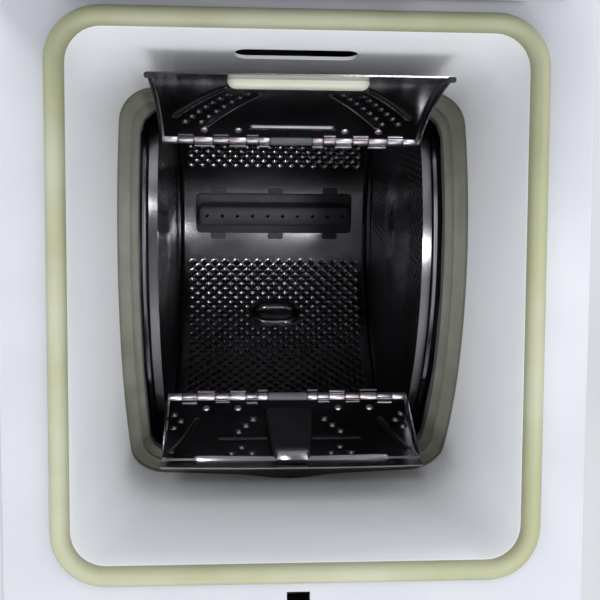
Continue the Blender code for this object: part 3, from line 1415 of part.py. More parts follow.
# Drum ends with their spiders and shafts
for side, label in ((-1, "left"), (1, "right")):
    shaft_end = PULLEY_FAR + 0.002 if side > 0 else PULLEY_NEAR
    profile = (
        (HALF_DRUM - 0.007, 0.030),
        (HALF_DRUM - 0.0055, 0.036),
        (HALF_DRUM - 0.0015, 0.060),
        (HALF_DRUM - 0.0015, DRUM_FLAT - FIT),
        (HALF_DRUM, DRUM_FLAT - FIT),
        (HALF_DRUM, 0.062),
        (HALF_DRUM + 0.006, 0.056),
        (HALF_DRUM + 0.006, 0.020),
        (TUB_HALF - 0.001, 0.020),
        (TUB_HALF - 0.001, SHAFT_RADIUS),
        (shaft_end, SHAFT_RADIUS),
    )
    profile = [(side * reach, radius) for reach, radius in profile]
    end = node("drum_" + label + "_end", turned(profile, "X", (0.0, 0.0), WIDE_STEPS), STEEL, drum_axis)
    arms = bmesh.new()
    for number in range(3):
        turn = tau * number / 3
        arm = []
        for radius, half in ((0.046, 0.018), (DRUM_RADIUS - 0.018, 0.012)):
            y, z = polar(turn, radius)
            arm.append((y + half * cos(turn), z + half * sin(turn)))
            arm.append((y - half * cos(turn), z - half * sin(turn)))
        arm = [arm[0], arm[1], arm[3], arm[2]]
        levels = sorted((side * (HALF_DRUM - 0.0005), side * (HALF_DRUM + 0.007)))
        prism(arm, "X", levels[0], levels[1], bm=arms)
    fuse(end, arms, "spider")

# Lifters inside the drum
for number, turn in enumerate((pi, pi / 3, -pi / 3)):
    loops = []
    for half_x, half_t, height in (
        (LIFTER_LENGTH / 2, LIFTER_WIDTH / 2, FIT),
        (LIFTER_LENGTH / 2, LIFTER_WIDTH / 2, 0.003),
        (LIFTER_LENGTH / 2 - 0.003, LIFTER_WIDTH / 2 - 0.004, 0.006),
        (LIFTER_LENGTH / 2 - 0.006, LIFTER_RIDGE / 2, LIFTER_HEIGHT - 0.002),
        (LIFTER_LENGTH / 2 - 0.008, LIFTER_RIDGE / 2 - 0.002, LIFTER_HEIGHT),
    ):
        loop = []
        for x, t in rounded(half_x, half_t, 0.006, along_y=3, bend=TIGHT_STEPS):
            y, z = polar(turn + t / DRUM_FLAT, DRUM_FLAT - height)
            loop.append((x, y, z))
        loops.append(loop)
    label = ("bottom", "front", "rear")[number]
    node(label + "_lifter", loft(loops), GREY, drum_axis)


# The two flaps, built shut and hung on their hinge axes
def flap(arc, pin_angle, heading, lap):
    """A curved flap with turned-in sides, from its root to its tip."""
    root = ROOT_GAP / DRUM_RADIUS
    stops = [root + (arc - lap - root) * k / 10 for k in range(11)]
    shift = [0.0] * 11
    if lap:
        joggle = DRUM_SHEET + FIT
        stops += [arc - lap + 0.3 * lap, arc]
        shift += [joggle, joggle]
    loops = []
    for turn, lift in zip(stops, shift):
        share = turn / arc
        half = (1 - share) * FLAP_ROOT_WIDTH / 2 + share * FLAP_TIP_WIDTH / 2
        fade = min(1.0, turn / (arc - lap))
        under = SHEET_IN + lift
        hem = under - FLAP_FLANGE * (1 - fade**4) - FIT / 2
        loop = []
        for x, radius in (
            (-half, SHEET_OUT + lift),
            (half, SHEET_OUT + lift),
            (half, hem),
            (half - DRUM_SHEET, hem),
            (half - DRUM_SHEET, under),
            (DRUM_SHEET - half, under),
            (DRUM_SHEET - half, hem),
            (-half, hem),
        ):
            y, z = polar(pin_angle - heading * turn, radius)
            loop.append((x, y, z))
        loops.append(loop)
    return loft(loops)


rear_flap = node(
    "rear_flap", moved(flap(REAR_FLAP_ARC, -OPENING_HALF_ANGLE, -1, 0.0), REAR_PIN), STEEL, rear_axis
)
front_flap = node(
    "front_flap",
    moved(flap(FRONT_FLAP_ARC, OPENING_HALF_ANGLE, 1, FLAP_LAP_ARC), FRONT_PIN),
    STEEL,
    front_axis,
)
for thing, angle, heading, place in (
    (rear_flap, -OPENING_HALF_ANGLE, 1, REAR_PIN),
    (front_flap, OPENING_HALF_ANGLE, -1, FRONT_PIN),
):
    strip = fuse(thing, moved(leaf(angle, heading, 1, LEAF_LOW, LEAF_HIGH), place), "leaf")
    fuse(strip, moved(eyes(angle, 1), place), "eyes")
RIB_ROOT = DRUM_SHEET * 2 / 3


def rib(angle, heading, start, stop, steps=3):
    """A pressed rib on the inner face of a flap, between two places across and along it."""
    (x_start, t_start), (x_stop, t_stop) = start, stop
    length = hypot(x_stop - x_start, t_stop - t_start)
    side_x = (t_stop - t_start) / length * FLAP_RIB_WIDTH / 2
    side_t = (x_start - x_stop) / length * FLAP_RIB_WIDTH / 2
    loops = []
    for k in range(steps + 1):
        share = k / steps
        x = x_start + share * (x_stop - x_start)
        t = t_start + share * (t_stop - t_start)
        loop = []
        for lean, radius in (
            (-1, SHEET_IN + RIB_ROOT),
            (0, SHEET_IN - FLAP_RIB_HEIGHT),
            (1, SHEET_IN + RIB_ROOT),
        ):
            turn = angle - heading * (t + lean * side_t) / DRUM_RADIUS
            loop.append((x + lean * side_x, *polar(turn, radius)))
        loops.append(loop)
    return loft(loops)


REAR_RIBS = (
    ((0.054, 0.096), (0.097, 0.038)),
    ((0.028, 0.082), (0.072, 0.023)),
)
FRONT_RIBS = (((0.083, 0.031), (0.101, 0.080)),)
SHORT_RIB = ((-0.0335, 0.0207), (0.0335, 0.0207))
for thing, angle, heading, place, lines in (
    (rear_flap, -OPENING_HALF_ANGLE, -1, REAR_PIN, REAR_RIBS),
    (front_flap, OPENING_HALF_ANGLE, 1, FRONT_PIN, FRONT_RIBS),
):
    for start, stop in lines:
        for side in (-1, 1):
            line = [(side * x, t) for x, t in (start, stop)]
            fuse(thing, moved(rib(angle, heading, *line), place), "rib")
fuse(rear_flap, moved(rib(-OPENING_HALF_ANGLE, -1, *SHORT_RIB, steps=1), REAR_PIN), "short_rib")

# Ivory grip strip on the inner face of the rear flap, near its tip
grip_loops = []
for inset, height in ((0.0, 0.0), (0.0, 0.4), (0.2, 0.85), (0.5, 1.0)):
    size = (GRIP_LENGTH - inset * GRIP_WIDTH, GRIP_WIDTH * (1 - inset))
    outline = obround(*size, (0.0, 0.0), steps=4)
    loop = []
    for x, t in outline:
        turn = -OPENING_HALF_ANGLE + (GRIP_FROM_HINGE + t) / DRUM_RADIUS
        y, z = polar(turn, SHEET_IN - FIT - height * GRIP_HEIGHT)
        loop.append((x, y - REAR_PIN[0], z - REAR_PIN[1]))
    grip_loops.append(loop)
node("grip_strip", loft(grip_loops), IVORY_PLASTIC, rear_axis)


# Latch on the front flap: a guide and a sliding bolt on the chord of the flap
def on_chord(points, start, stop, bm=None):
    """Push a cross-section along the chord of the front flap."""
    first = Vector((0.0, *polar(OPENING_HALF_ANGLE - LATCH_START / DRUM_RADIUS, SHEET_IN)))
    last_turn = OPENING_HALF_ANGLE - FRONT_FLAP_ARC + LATCH_END_GAP / DRUM_RADIUS
    last = Vector((0.0, *polar(last_turn, SHEET_IN)))
    ahead = (last - first).normalized()
    outward = Vector((1.0, 0.0, 0.0)).cross(ahead)
    if outward.z < 0:
        outward = -outward
    loops = []
    for reach in (start, stop):
        loop = []
        for x, height in points:
            place = first + ahead * reach - outward * height
            loop.append((x, place.y - FRONT_PIN[0], place.z - FRONT_PIN[1]))
        loops.append(loop)
    return loft(loops, bm=bm)


LATCH_CHORD = 2 * SHEET_IN * sin((FRONT_FLAP_ARC - (LATCH_START + LATCH_END_GAP) / DRUM_RADIUS) / 2)
half = LATCH_WIDTH / 2
inside = half - LATCH_WALL
lip = inside - 0.003
floor_height = 0.0005 + LATCH_WALL
cover_low = LATCH_HEIGHT
cover_high = LATCH_HEIGHT + 0.0015
guide_line = [
    (-half, 0.0005),
    (half, 0.0005),
    (half, cover_high),
    (lip, cover_high),
    (lip, cover_low),
    (inside, cover_low),
    (inside, floor_height),
    (-inside, floor_height),
    (-inside, cover_low),
    (-lip, cover_low),
    (-lip, cover_high),
    (-half, cover_high),
]
node("latch_guide", on_chord(guide_line, 0.0, LATCH_CHORD), BLACK, front_axis)
bolt_wide = inside - RUN
bolt_low = floor_height + RUN
bolt_high = cover_low - RUN
bolt_line = [(-bolt_wide, bolt_low), (bolt_wide, bolt_low)]
bolt_line += [(bolt_wide, bolt_high), (-bolt_wide, bolt_high)]
bolt = node(
    "latch_bolt",
    on_chord(bolt_line, LATCH_TRAVEL + 0.006, LATCH_CHORD + LATCH_END_GAP - 0.001),
    DARK_STEEL,
    front_axis,
)
thumb = lip - RUN
thumb_line = [
    (-thumb, bolt_high - 0.001),
    (thumb, bolt_high - 0.001),
    (thumb - 0.002, cover_high + 0.0015),
    (0.002 - thumb, cover_high + 0.0015),
]
fuse(bolt, on_chord(thumb_line, LATCH_TRAVEL + 0.016, LATCH_CHORD - 0.016), "thumb_pad")
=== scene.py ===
# %% [markdown]
# # Top-loading washing machine
# The photo looks straight down through the open lid into the drum. It shows an ivory seal, a white
# funnel, grey bellows, and two steel flaps that stand open on long knuckled hinges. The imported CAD
# frame gives every place and size. This script dresses it: sheet metal gets thickness and holes,
# mouldings get rounded edges, and each surface gets the finish of its real material.

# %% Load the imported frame
import json
from math import atan2, cos, hypot, pi, radians, sin, sqrt, tau

import bmesh
import bpy
from mathutils import Matrix, Vector

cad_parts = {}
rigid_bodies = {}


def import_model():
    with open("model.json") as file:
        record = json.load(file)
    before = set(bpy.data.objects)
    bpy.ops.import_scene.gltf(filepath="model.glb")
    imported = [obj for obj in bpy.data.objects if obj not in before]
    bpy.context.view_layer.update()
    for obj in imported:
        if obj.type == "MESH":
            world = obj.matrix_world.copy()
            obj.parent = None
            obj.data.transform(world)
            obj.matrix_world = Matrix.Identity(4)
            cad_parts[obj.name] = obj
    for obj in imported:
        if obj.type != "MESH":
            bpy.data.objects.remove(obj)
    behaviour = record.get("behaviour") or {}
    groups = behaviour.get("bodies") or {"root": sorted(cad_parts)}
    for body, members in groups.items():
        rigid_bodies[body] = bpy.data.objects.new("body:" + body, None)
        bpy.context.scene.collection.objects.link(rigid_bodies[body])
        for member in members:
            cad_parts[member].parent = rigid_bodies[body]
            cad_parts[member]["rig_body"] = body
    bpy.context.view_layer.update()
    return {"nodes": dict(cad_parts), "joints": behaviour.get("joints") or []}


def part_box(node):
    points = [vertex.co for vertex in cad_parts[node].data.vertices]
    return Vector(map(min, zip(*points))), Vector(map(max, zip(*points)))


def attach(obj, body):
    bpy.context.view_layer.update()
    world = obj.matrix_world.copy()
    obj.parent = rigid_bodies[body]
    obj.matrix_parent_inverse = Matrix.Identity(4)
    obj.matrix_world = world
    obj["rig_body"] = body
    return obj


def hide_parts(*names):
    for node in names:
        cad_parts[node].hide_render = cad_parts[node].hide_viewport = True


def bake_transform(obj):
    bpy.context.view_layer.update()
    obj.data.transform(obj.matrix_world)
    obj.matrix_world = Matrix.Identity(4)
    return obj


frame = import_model()
NODES = frame["nodes"]
JOINTS = {joint["name"]: joint for joint in frame["joints"]}
SLOT_OF = {name: node.data.materials[0].name.split(".")[0] for name, node in NODES.items()}

# %% [markdown]
# The camera was fitted to points on the seal, the funnel's rim, the hinges and the lifter. It could
# be aimed with a tracking constraint, but the fit gives three angles, so they are used as they are.

# %% Camera of the photo
CAMERA_PLACE = Vector((-0.0370, -0.01525, 1.44211))
CAMERA_TURN = (("X", radians(-3.81)), ("Y", radians(-3.57)), ("Z", radians(0.05)))
CAMERA_LENS = 53.16
CAMERA_SENSOR = 36.0

camera = bpy.data.objects.new("photo_camera", bpy.data.cameras.new("photo_camera"))
camera.data.lens = CAMERA_LENS
camera.data.sensor_width = CAMERA_SENSOR
aim = Matrix.Identity(4)
for axis, angle in CAMERA_TURN:
    aim = aim @ Matrix.Rotation(angle, 4, axis)
camera.matrix_world = Matrix.Translation(CAMERA_PLACE) @ aim
bpy.context.scene.collection.objects.link(camera)
bpy.context.scene.camera = camera
print("camera at", CAMERA_PLACE)

# %% [markdown]
# The light is that of a plain room: big soft lamps around, two small ones high up, and a pale sky
# that is dark overhead, where the photographer leans over the drum. So the steel in the drum comes out
# nearly black, with a spark of the lamps on every eye and dish, as in the photo. A lamp straight
# overhead would turn the bottom of the drum white.

# %% Lamps and sky
SKY_COLOUR = "E9EDF2"
SKY_STRENGTH = 0.80
OVERHEAD_STRENGTH = 0.16
OVERHEAD = (0.80, 0.97)
# Name, place, size in metres and power in watts of each lamp
LAMPS = (
    ("right_lamp", (1.7, 0.5, 2.3), 1.6, 18.0),
    ("left_lamp", (-1.9, 0.1, 2.2), 1.4, 14.0),
    ("back_lamp", (0.2, 2.0, 2.4), 1.6, 24.0),
    ("front_lamp", (0.0, -3.0, 2.2), 1.6, 32.0),
    ("right_ceiling_lamp", (0.50, -0.25, 2.9), 0.3, 11.0),
    ("left_ceiling_lamp", (-0.40, 0.75, 2.9), 0.3, 12.0),
)
LAMP_TARGET = Vector((0.0, 0.0, 0.7))


def srgb(code):
    """The linear colour of a six-digit hex code."""
    shares = [int(code[k : k + 2], 16) / 255 for k in (0, 2, 4)]
    return tuple(s / 12.92 if s <= 0.04045 else ((s + 0.055) / 1.055) ** 2.4 for s in shares) + (1.0,)


def add(tree, kind, settings, **links):
    """Add a shader node with its settings, and links from other sockets to its inputs."""
    node = tree.nodes.new(kind)
    for key, value in settings.items():
        if key in node.inputs:
            node.inputs[key].default_value = value
        else:
            setattr(node, key, value)
    for key, socket in links.items():
        tree.links.new(socket, node.inputs[key.replace("_", " ")])
    return node


for name, place, size, power in LAMPS:
    lamp = bpy.data.lights.new(name, "AREA")
    lamp.size = size
    lamp.energy = power
    holder = bpy.data.objects.new(name, lamp)
    holder.location = place
    holder.rotation_euler = (LAMP_TARGET - Vector(place)).to_track_quat("-Z", "Y").to_euler()
    bpy.context.scene.collection.objects.link(holder)

world = bpy.data.worlds.new("dim_room")
world.use_nodes = True
background = world.node_tree.nodes["Background"]
background.inputs["Color"].default_value = srgb(SKY_COLOUR)
heading = add(world.node_tree, "ShaderNodeTexCoord", {}).outputs["Generated"]
upward = add(world.node_tree, "ShaderNodeSeparateXYZ", {}, Vector=heading).outputs["Z"]
fall = {
    "From Min": OVERHEAD[0],
    "From Max": OVERHEAD[1],
    "To Min": SKY_STRENGTH,
    "To Max": OVERHEAD_STRENGTH,
}
strength = add(world.node_tree, "ShaderNodeMapRange", fall, Value=upward).outputs["Result"]
world.node_tree.links.new(strength, background.inputs["Strength"])
bpy.context.scene.world = world
bpy.context.scene.view_settings.view_transform = "Standard"
print("lamps:", len(LAMPS))

# %% [markdown]
# Every finish is a Principled shader with a mottled colour and a fine bump, both from noise in
# object coordinates. Image textures would do it too, but noise has no seams and holds up close.

# %% Helper for finishes
FINISH = {}
MOTTLE_ENDS = (0.38, 0.68)


def finish(slot, colour, rough, metal=0.0, mottle=None, grain=None, wear=0.0, coat=0.0):
    """A material: mottle is (second colour, millimetres), grain is (millimetres, bump strength)."""
    made = bpy.data.materials.new(slot)
    made.use_nodes = True
    tree = made.node_tree
    shader = tree.nodes["Principled BSDF"]
    shader.inputs["Base Color"].default_value = srgb(colour)
    shader.inputs["Roughness"].default_value = rough
    shader.inputs["Metallic"].default_value = metal
    shader.inputs["Coat Weight"].default_value = coat
    made.diffuse_color = srgb(colour)
    place = add(tree, "ShaderNodeTexCoord", {}).outputs["Object"]
    if mottle:
        second, size = mottle
        noise = add(tree, "ShaderNodeTexNoise", {"Scale": 1000 / size, "Detail": 5.0}, Vector=place)
        ramp = add(tree, "ShaderNodeValToRGB", {}, Fac=noise.outputs["Fac"])
        for stop, spot, shade in zip(ramp.color_ramp.elements, MOTTLE_ENDS, (colour, second)):
            stop.position = spot
            stop.color = srgb(shade)
        tree.links.new(ramp.outputs["Color"], shader.inputs["Base Color"])
        if wear:
            span = {"To Min": rough - wear, "To Max": rough + wear}
            worn = add(tree, "ShaderNodeMapRange", span, Value=noise.outputs["Fac"])
            tree.links.new(worn.outputs["Result"], shader.inputs["Roughness"])
    if grain:
        size, strength = grain
        noise = add(tree, "ShaderNodeTexNoise", {"Scale": 1000 / size, "Detail": 3.0}, Vector=place)
        relief = {"Strength": strength, "Distance": size / 4000}
        bump = add(tree, "ShaderNodeBump", relief, Height=noise.outputs["Fac"])
        tree.links.new(bump.outputs["Normal"], shader.inputs["Normal"])
    FINISH[slot] = made


# %% [markdown]
# The finishes are named for the record's slots; the floor has one of its own, and the funnel has a copy
# of the white plastic painted lighter, as painted light for its walls. The whites differ: enamel on steel
# is glossy and cool, moulded plastic is softer. One white for all would be simpler, but then the seams
# between sheet and mouldings would not show.

# %% Finishes of the whites and the rubbers
# White enamel on sheet steel gives a cool gloss with a faint orange peel
finish("white_enamel", "D8D9DD", 0.24, mottle=("DBDCE0", 90), grain=(1.4, 0.04), coat=0.3)
# Moulded ABS gives a soft sheen, a little bluish
finish("white_plastic", "BEBFC6", 0.34, mottle=("C3C4CA", 60), grain=(0.5, 0.03), wear=0.05)
# A lighter copy of the white plastic: painted light that lifts the funnel's walls, which get less light
# than the deck, though they also light each other
finish("funnel_plastic", "F3F4F7", 0.40, mottle=("F6F7F9", 60), grain=(0.5, 0.03))
# Ivory plastic of the grip strip has a soft sheen
finish("ivory_plastic", "CDCEBC", 0.38, mottle=("D5D5C6", 40), grain=(0.5, 0.03))
# Ivory EPDM of the seal has yellowed unevenly and is matt
finish("ivory_rubber", "A0A27F", 0.5, mottle=("B2B39B", 90), grain=(0.7, 0.06), wear=0.08)
# Grey EPDM of the bellows gives a dull, slightly cloudy face
finish("grey_rubber", "757568", 0.5, mottle=("828276", 25), grain=(0.8, 0.08), wear=0.08)
# Black rubber of the feet and bumpers is dull
finish("black_rubber", "1C1C1D", 0.7, mottle=("262626", 12), grain=(0.8, 0.1))
print("finishes so far:", sorted(FINISH))

# %% [markdown]
# Dark plastics are dull, and metals mirror the room. The drum's steel could be given streaks, but the
# photo shows a cloudy mirror, so it has mottled roughness.

# %% Finishes of the plastics and the metals
# Black plastic of the latch and the lock shows little but its edges
finish("black_plastic", "17171A", 0.42, mottle=("1F1F22", 20), grain=(0.4, 0.05))
# Grey plastic of the lifters and the spring sleeves has a dull sheen
finish("grey_plastic", "66686D", 0.45, mottle=("707277", 20), grain=(0.4, 0.05))
# Filled polypropylene of the tub is dull and grey
finish("tub_plastic", "5C5E61", 0.6, mottle=("65676A", 40), grain=(1.0, 0.08))
# Rolled stainless steel mirrors a dark room, a little cloudy
finish("stainless_steel", "8E8D91", 0.19, metal=1.0, mottle=("9A999D", 45), grain=(0.5, 0.02), wear=0.06)
# Plated steel of hinges, pins and springs is brighter
finish("plated_steel", "E2DDE6", 0.34, metal=1.0, mottle=("C2B7B6", 16), grain=(0.6, 0.03), wear=0.08)
# Cast aluminium is pale grey with a sandy face
finish("cast_aluminium", "B5B6B8", 0.45, metal=1.0, mottle=("A6A7A9", 14), grain=(0.9, 0.25))
# Painted cast iron is dark and rough
finish("cast_iron", "3A3B3D", 0.7, metal=0.4, mottle=("444547", 16), grain=(1.6, 0.5))
# Pale grey of the studio floor
finish("studio_floor", "C6C7C9", 0.8)
print("finishes:", len(FINISH))

# %% [markdown]
# The floor belongs to the studio and not to the machine. The CAD pieces that nothing replaces, such as
# the tub and the motor, show as they are, so all get their finish here.

# %% Floor, and finishes of the CAD pieces
FLOOR_HALF = 8.0

floor_mesh = bmesh.new()
bmesh.ops.create_grid(floor_mesh, x_segments=1, y_segments=1, size=FLOOR_HALF)
floor_data = bpy.data.meshes.new("studio_floor")
floor_mesh.to_mesh(floor_data)
floor_data.materials.append(FINISH["studio_floor"])
floor = bpy.data.objects.new("studio_floor", floor_data)
bpy.context.scene.collection.objects.link(floor)

for name, node in NODES.items():
    node.data.materials[0] = FINISH[SLOT_OF[name]]
print("finished CAD pieces:", len(NODES))

# %% [markdown]
# Most mouldings and panels already have the right shape in the CAD model. They get a copy with its
# flat facets joined and its sharp edges rounded, because a real edge catches a line of light.
# A bevel modifier on the CAD node would do too, but its triangles leave seams in the bevel.

# %% Helpers that settle a piece and round a CAD piece
SMOOTH = radians(35.0)
FLAT = radians(1.0)
ANY_SHAPE = radians(180.0)
WELD = 1e-6
FOOT_EDGE = 0.0012
BODY_OF = {name: node["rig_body"] for name, node in NODES.items()}


def piece(name, bm, slot, body=None, stands_for=(), sheet=0.0, look=None):
    """Turn a mesh into a piece that rides on its body; sheet adds that wall behind its faces."""
    if sheet:
        bmesh.ops.solidify(bm, geom=bm.faces[:], thickness=sheet)
    else:
        bmesh.ops.recalc_face_normals(bm, faces=bm.faces[:])
    data = bpy.data.meshes.new(name)
    bm.to_mesh(data)
    bm.free()
    data.shade_smooth()
    data.set_sharp_from_angle(angle=SMOOTH)
    data.materials.append(FINISH[look or slot])
    made = bpy.data.objects.new(name, data)
    bpy.context.scene.collection.objects.link(made)
    if body:
        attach(made, body)
    if stands_for:
        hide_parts(*stands_for)
    return made


def soften(bm, edges, size, segments=2):
    """Round some edges of a mesh."""
    bmesh.ops.bevel(
        bm,
        geom=list(edges),
        offset=size,
        offset_type="OFFSET",
        segments=segments,
        profile=0.5,
        affect="EDGES",
        clamp_overlap=True,
        material=-1,
    )


def rounded_copy(node, edge):
    """A piece like a CAD node, with its sharp edges rounded."""
    bm = bmesh.new()
    bm.from_mesh(NODES[node].data)
    bmesh.ops.remove_doubles(bm, verts=bm.verts[:], dist=WELD)
    bmesh.ops.join_triangles(
        bm, faces=bm.faces[:], angle_face_threshold=FLAT, angle_shape_threshold=ANY_SHAPE
    )
    soften(bm, [e for e in bm.edges if e.is_manifold and e.calc_face_angle() > SMOOTH], edge)
    made = piece(node + "_skin", bm, SLOT_OF[node], BODY_OF[node], [node])
    even = made.modifiers.new("even_shading", "WEIGHTED_NORMAL")
    even.keep_sharp = True


# Radius of the rounding, and the pieces that get it
ROUNDED = {
    0.0008: ("front_panel", "left_panel", "right_panel", "rear_panel", "plinth", "filter_door"),
    0.0012: ("top_surround", "lid_shell", "lid_liner", "console_housing", "detergent_tray"),
    0.0005: ("console_fascia", "filter_cap", "water_valve", "lid_lock"),
    0.0010: ("start_button", "option_button", "program_knob"),
}
for edge, names in ROUNDED.items():
    for name in names:
        rounded_copy(name, edge)
for side in ("front", "rear"):
    for hand in ("left", "right"):
        rounded_copy("foot_" + side + "_" + hand, FOOT_EDGE)
print("rounded copies:", sum(len(names) for names in ROUNDED.values()) + 4)

# %% [markdown]
# The seal, the funnel and the bellows are rings round the mouth. Each is a stack of loops, and each
# loop is a square whose corners were rounded with a vertex bevel; neighbours are bridged. A curve
# with a bevel profile would make the seal, but not the funnel, whose lower rim follows the drum.

# %% Helpers for rings
def rounded_loop(bm, half, corner, middle=(0.0, 0.0), cuts=19, bend=9):
    """The edges of a closed loop round a rectangle with round corners."""
    known = set(bm.faces)
    flat = bmesh.ops.create_grid(bm, x_segments=1, y_segments=1, size=1.0)["verts"]
    bmesh.ops.scale(bm, vec=(half[0], half[1], 1.0), verts=flat)
    bmesh.ops.bevel(
        bm,
        geom=flat,
        offset=corner,
        offset_type="OFFSET",
        segments=bend,
        profile=0.5,
        affect="VERTICES",
        material=-1,
    )
    face = (set(bm.faces) - known).pop()
    straight = [e for e in face.edges if e.calc_length() > corner]
    bmesh.ops.bisect_edges(bm, edges=straight, cuts=cuts)
    bmesh.ops.translate(bm, vec=(middle[0], middle[1], 0.0), verts=face.verts[:])
    edges = face.edges[:]
    bmesh.ops.delete(bm, geom=[face], context="FACES_ONLY")
    return edges


def lift(edges, level):
    """Set the height of each point of a loop from its place."""
    for vert in {v for e in edges for v in e.verts}:
        vert.co.z = level(vert.co.x, vert.co.y)


def skin(bm, loops, closed=False, wall=0.0):
    """Bridge a stack of loops, back to the first one if closed, and give it a wall."""
    ends = loops[1:] + (loops[:1] if closed else [])
    for low, high in zip(loops, ends):
        bmesh.ops.bridge_loops(bm, edges=low + high)
    if wall:
        bmesh.ops.recalc_face_normals(bm, faces=bm.faces[:])
        bmesh.ops.solidify(bm, geom=bm.faces[:], thickness=wall)


# %% [markdown]
# The ivory seal is a rubber bulb on the edge of the deck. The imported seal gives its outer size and
# the funnel's flange gives half its width. A swept circle would do, but the bulb is flat below, so its
# loops follow half a wave.

# %% Seal round the mouth
SEAL_LOW, SEAL_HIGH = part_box("mouth_gasket")
FUNNEL_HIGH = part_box("loading_funnel")[1]
SEAL_WIDTH = 2 * (SEAL_HIGH.x - FUNNEL_HIGH.x)
SEAL_HEIGHT = SEAL_HIGH.z - SEAL_LOW.z
DECK = SEAL_LOW.z
MOUTH = (SEAL_HIGH.x - SEAL_WIDTH, (SEAL_HIGH.y - SEAL_LOW.y) / 2 - SEAL_WIDTH)
MOUTH_Y = (SEAL_LOW.y + SEAL_HIGH.y) / 2
MOUTH_CORNER = 0.024
SEAL_STEPS = 14
SEAL_FULLNESS = 0.75


def mouth_loop(bm, grow, level):
    """A level loop round the mouth, grown outwards."""
    ring = rounded_loop(bm, (MOUTH[0] + grow, MOUTH[1] + grow), MOUTH_CORNER + grow, (0.0, MOUTH_Y))
    lift(ring, lambda x, y: level)
    return ring


seal = bmesh.new()
loops = []
for k in range(SEAL_STEPS + 1):
    turn = pi * k / SEAL_STEPS
    grow = SEAL_WIDTH * (0.5 - 0.5 * cos(turn))
    loops.append(mouth_loop(seal, grow, SEAL_LOW.z + SEAL_HEIGHT * sin(turn) ** SEAL_FULLNESS))
skin(seal, loops, closed=True)
piece("mouth_seal", seal, "ivory_rubber", "cabinet", ["mouth_gasket"])
print("seal", SEAL_WIDTH, "wide")

# %% [markdown]
# The funnel leads from the mouth down to the drum. Its lower rim lies on a cylinder round the drum's
# axis, with a hump in the middle of the front, where the photo shows a dark gap. A boolean with a
# cylinder would leave a ragged rim, so the lowest loop is lifted onto it.

# %% Funnel
AXIS = Vector(JOINTS["drum_turn"]["pos_m"])
FUNNEL_WALL = 0.0025
HUMP = 0.026
HUMP_SHAPE = ((0.45, 0.55), (0.16, 0.45))
FUNNEL_STEPS = 9
LIP = 0.003
LIP_STEPS = 4
FLANGE_DROP = LIP / 4
RIM_DEPTH = 0.1
INLET = (0.089, 0.080, 0.022)
INLET_CORNER = INLET[2] * 0.4
INLET_DROP = 0.055


def off_axis(place):
    """Distance from the drum's axis."""
    return hypot(place.y - AXIS.y, place.z - AXIS.z)


def extent(points, wall):
    """Half sizes and middle of a cloud of points, less a wall."""
    xs = [p.x for p in points]
    ys = [p.y for p in points]
    half = ((max(xs) - min(xs)) / 2 - wall, (max(ys) - min(ys)) / 2 - wall)
    return half, ((max(xs) + min(xs)) / 2, (max(ys) + min(ys)) / 2)


rim_points = [v.co for v in NODES["loading_funnel"].data.vertices if v.co.z < DECK - RIM_DEPTH]
RIM, RIM_MIDDLE = extent(rim_points, FUNNEL_WALL)
RIM_RADIUS = min(off_axis(p) for p in rim_points)
RIM_CORNER = 0.028
HUMP_DEPTH = RIM_CORNER / 3


def hump(x, y):
    """The lift of the rim along the middle of its front."""
    if y > RIM_MIDDLE[1] - RIM[1] + HUMP_DEPTH:
        return 0.0
    lifted = 0.0
    for reach, part in HUMP_SHAPE:
        aside = (x - RIM_MIDDLE[0]) / (reach * 2 * RIM[0])
        lifted += part * HUMP * max(0.0, 1.0 - aside**2) ** 2
    return lifted


def on_axis(radius, y):
    """Height of a cylinder round the drum's axis."""
    return AXIS.z + sqrt(radius**2 - (y - AXIS.y) ** 2)


def mixed(a, b, share):
    """A value between two, or a pair between two pairs."""
    if isinstance(a, tuple):
        return tuple(mixed(p, q, share) for p, q in zip(a, b))
    return a + (b - a) * share


def brick(bm, size):
    """A block round the origin; returns its points."""
    made = bmesh.ops.create_cube(bm, size=1.0)["verts"]
    bmesh.ops.scale(bm, vec=size, verts=made)
    return made


def carve(bm, cutter):
    """Take one closed mesh away from another."""
    shapes = []
    for mesh in (bm, cutter):
        data = bpy.data.meshes.new("carving")
        bmesh.ops.recalc_face_normals(mesh, faces=mesh.faces[:])
        mesh.to_mesh(data)
        shapes.append(bpy.data.objects.new("carving", data))
        bpy.context.scene.collection.objects.link(shapes[-1])
    cut = shapes[0].modifiers.new("carve", "BOOLEAN")
    cut.object = shapes[1]
    cut.operation = "DIFFERENCE"
    cut.solver = "EXACT"
    carved = shapes[0].evaluated_get(bpy.context.evaluated_depsgraph_get())
    bm.clear()
    bm.from_mesh(carved.to_mesh())
    carved.to_mesh_clear()
    for shape in shapes:
        data = shape.data
        bpy.data.objects.remove(shape)
        bpy.data.meshes.remove(data)
    cutter.free()


funnel = bmesh.new()
loops = []
top = DECK - LIP
for k in range(FUNNEL_STEPS + 1):
    share = k / FUNNEL_STEPS
    half = mixed(RIM, MOUTH, share)
    middle = mixed(RIM_MIDDLE, (0.0, MOUTH_Y), share)
    ring = rounded_loop(funnel, half, mixed(RIM_CORNER, MOUTH_CORNER, share), middle)

    def slope(x, y):
        """Height on the wall, between the rim below and the deck above."""
        rim_x = RIM_MIDDLE[0] + (x - middle[0]) * RIM[0] / half[0]
        rim_y = RIM_MIDDLE[1] + (y - middle[1]) * RIM[1] / half[1]
        return mixed(on_axis(RIM_RADIUS, rim_y) + hump(rim_x, rim_y), top, share)

    lift(ring, slope)
    loops.append(ring)
for k in range(1, LIP_STEPS + 1):
    turn = pi / 2 * k / LIP_STEPS
    loops.append(mouth_loop(funnel, LIP * (1 - cos(turn)), top + LIP * sin(turn)))
loops.append(mouth_loop(funnel, SEAL_WIDTH / 2, DECK - FLANGE_DROP))
skin(funnel, loops, wall=FUNNEL_WALL)
slot = bmesh.new()
brick(slot, INLET)
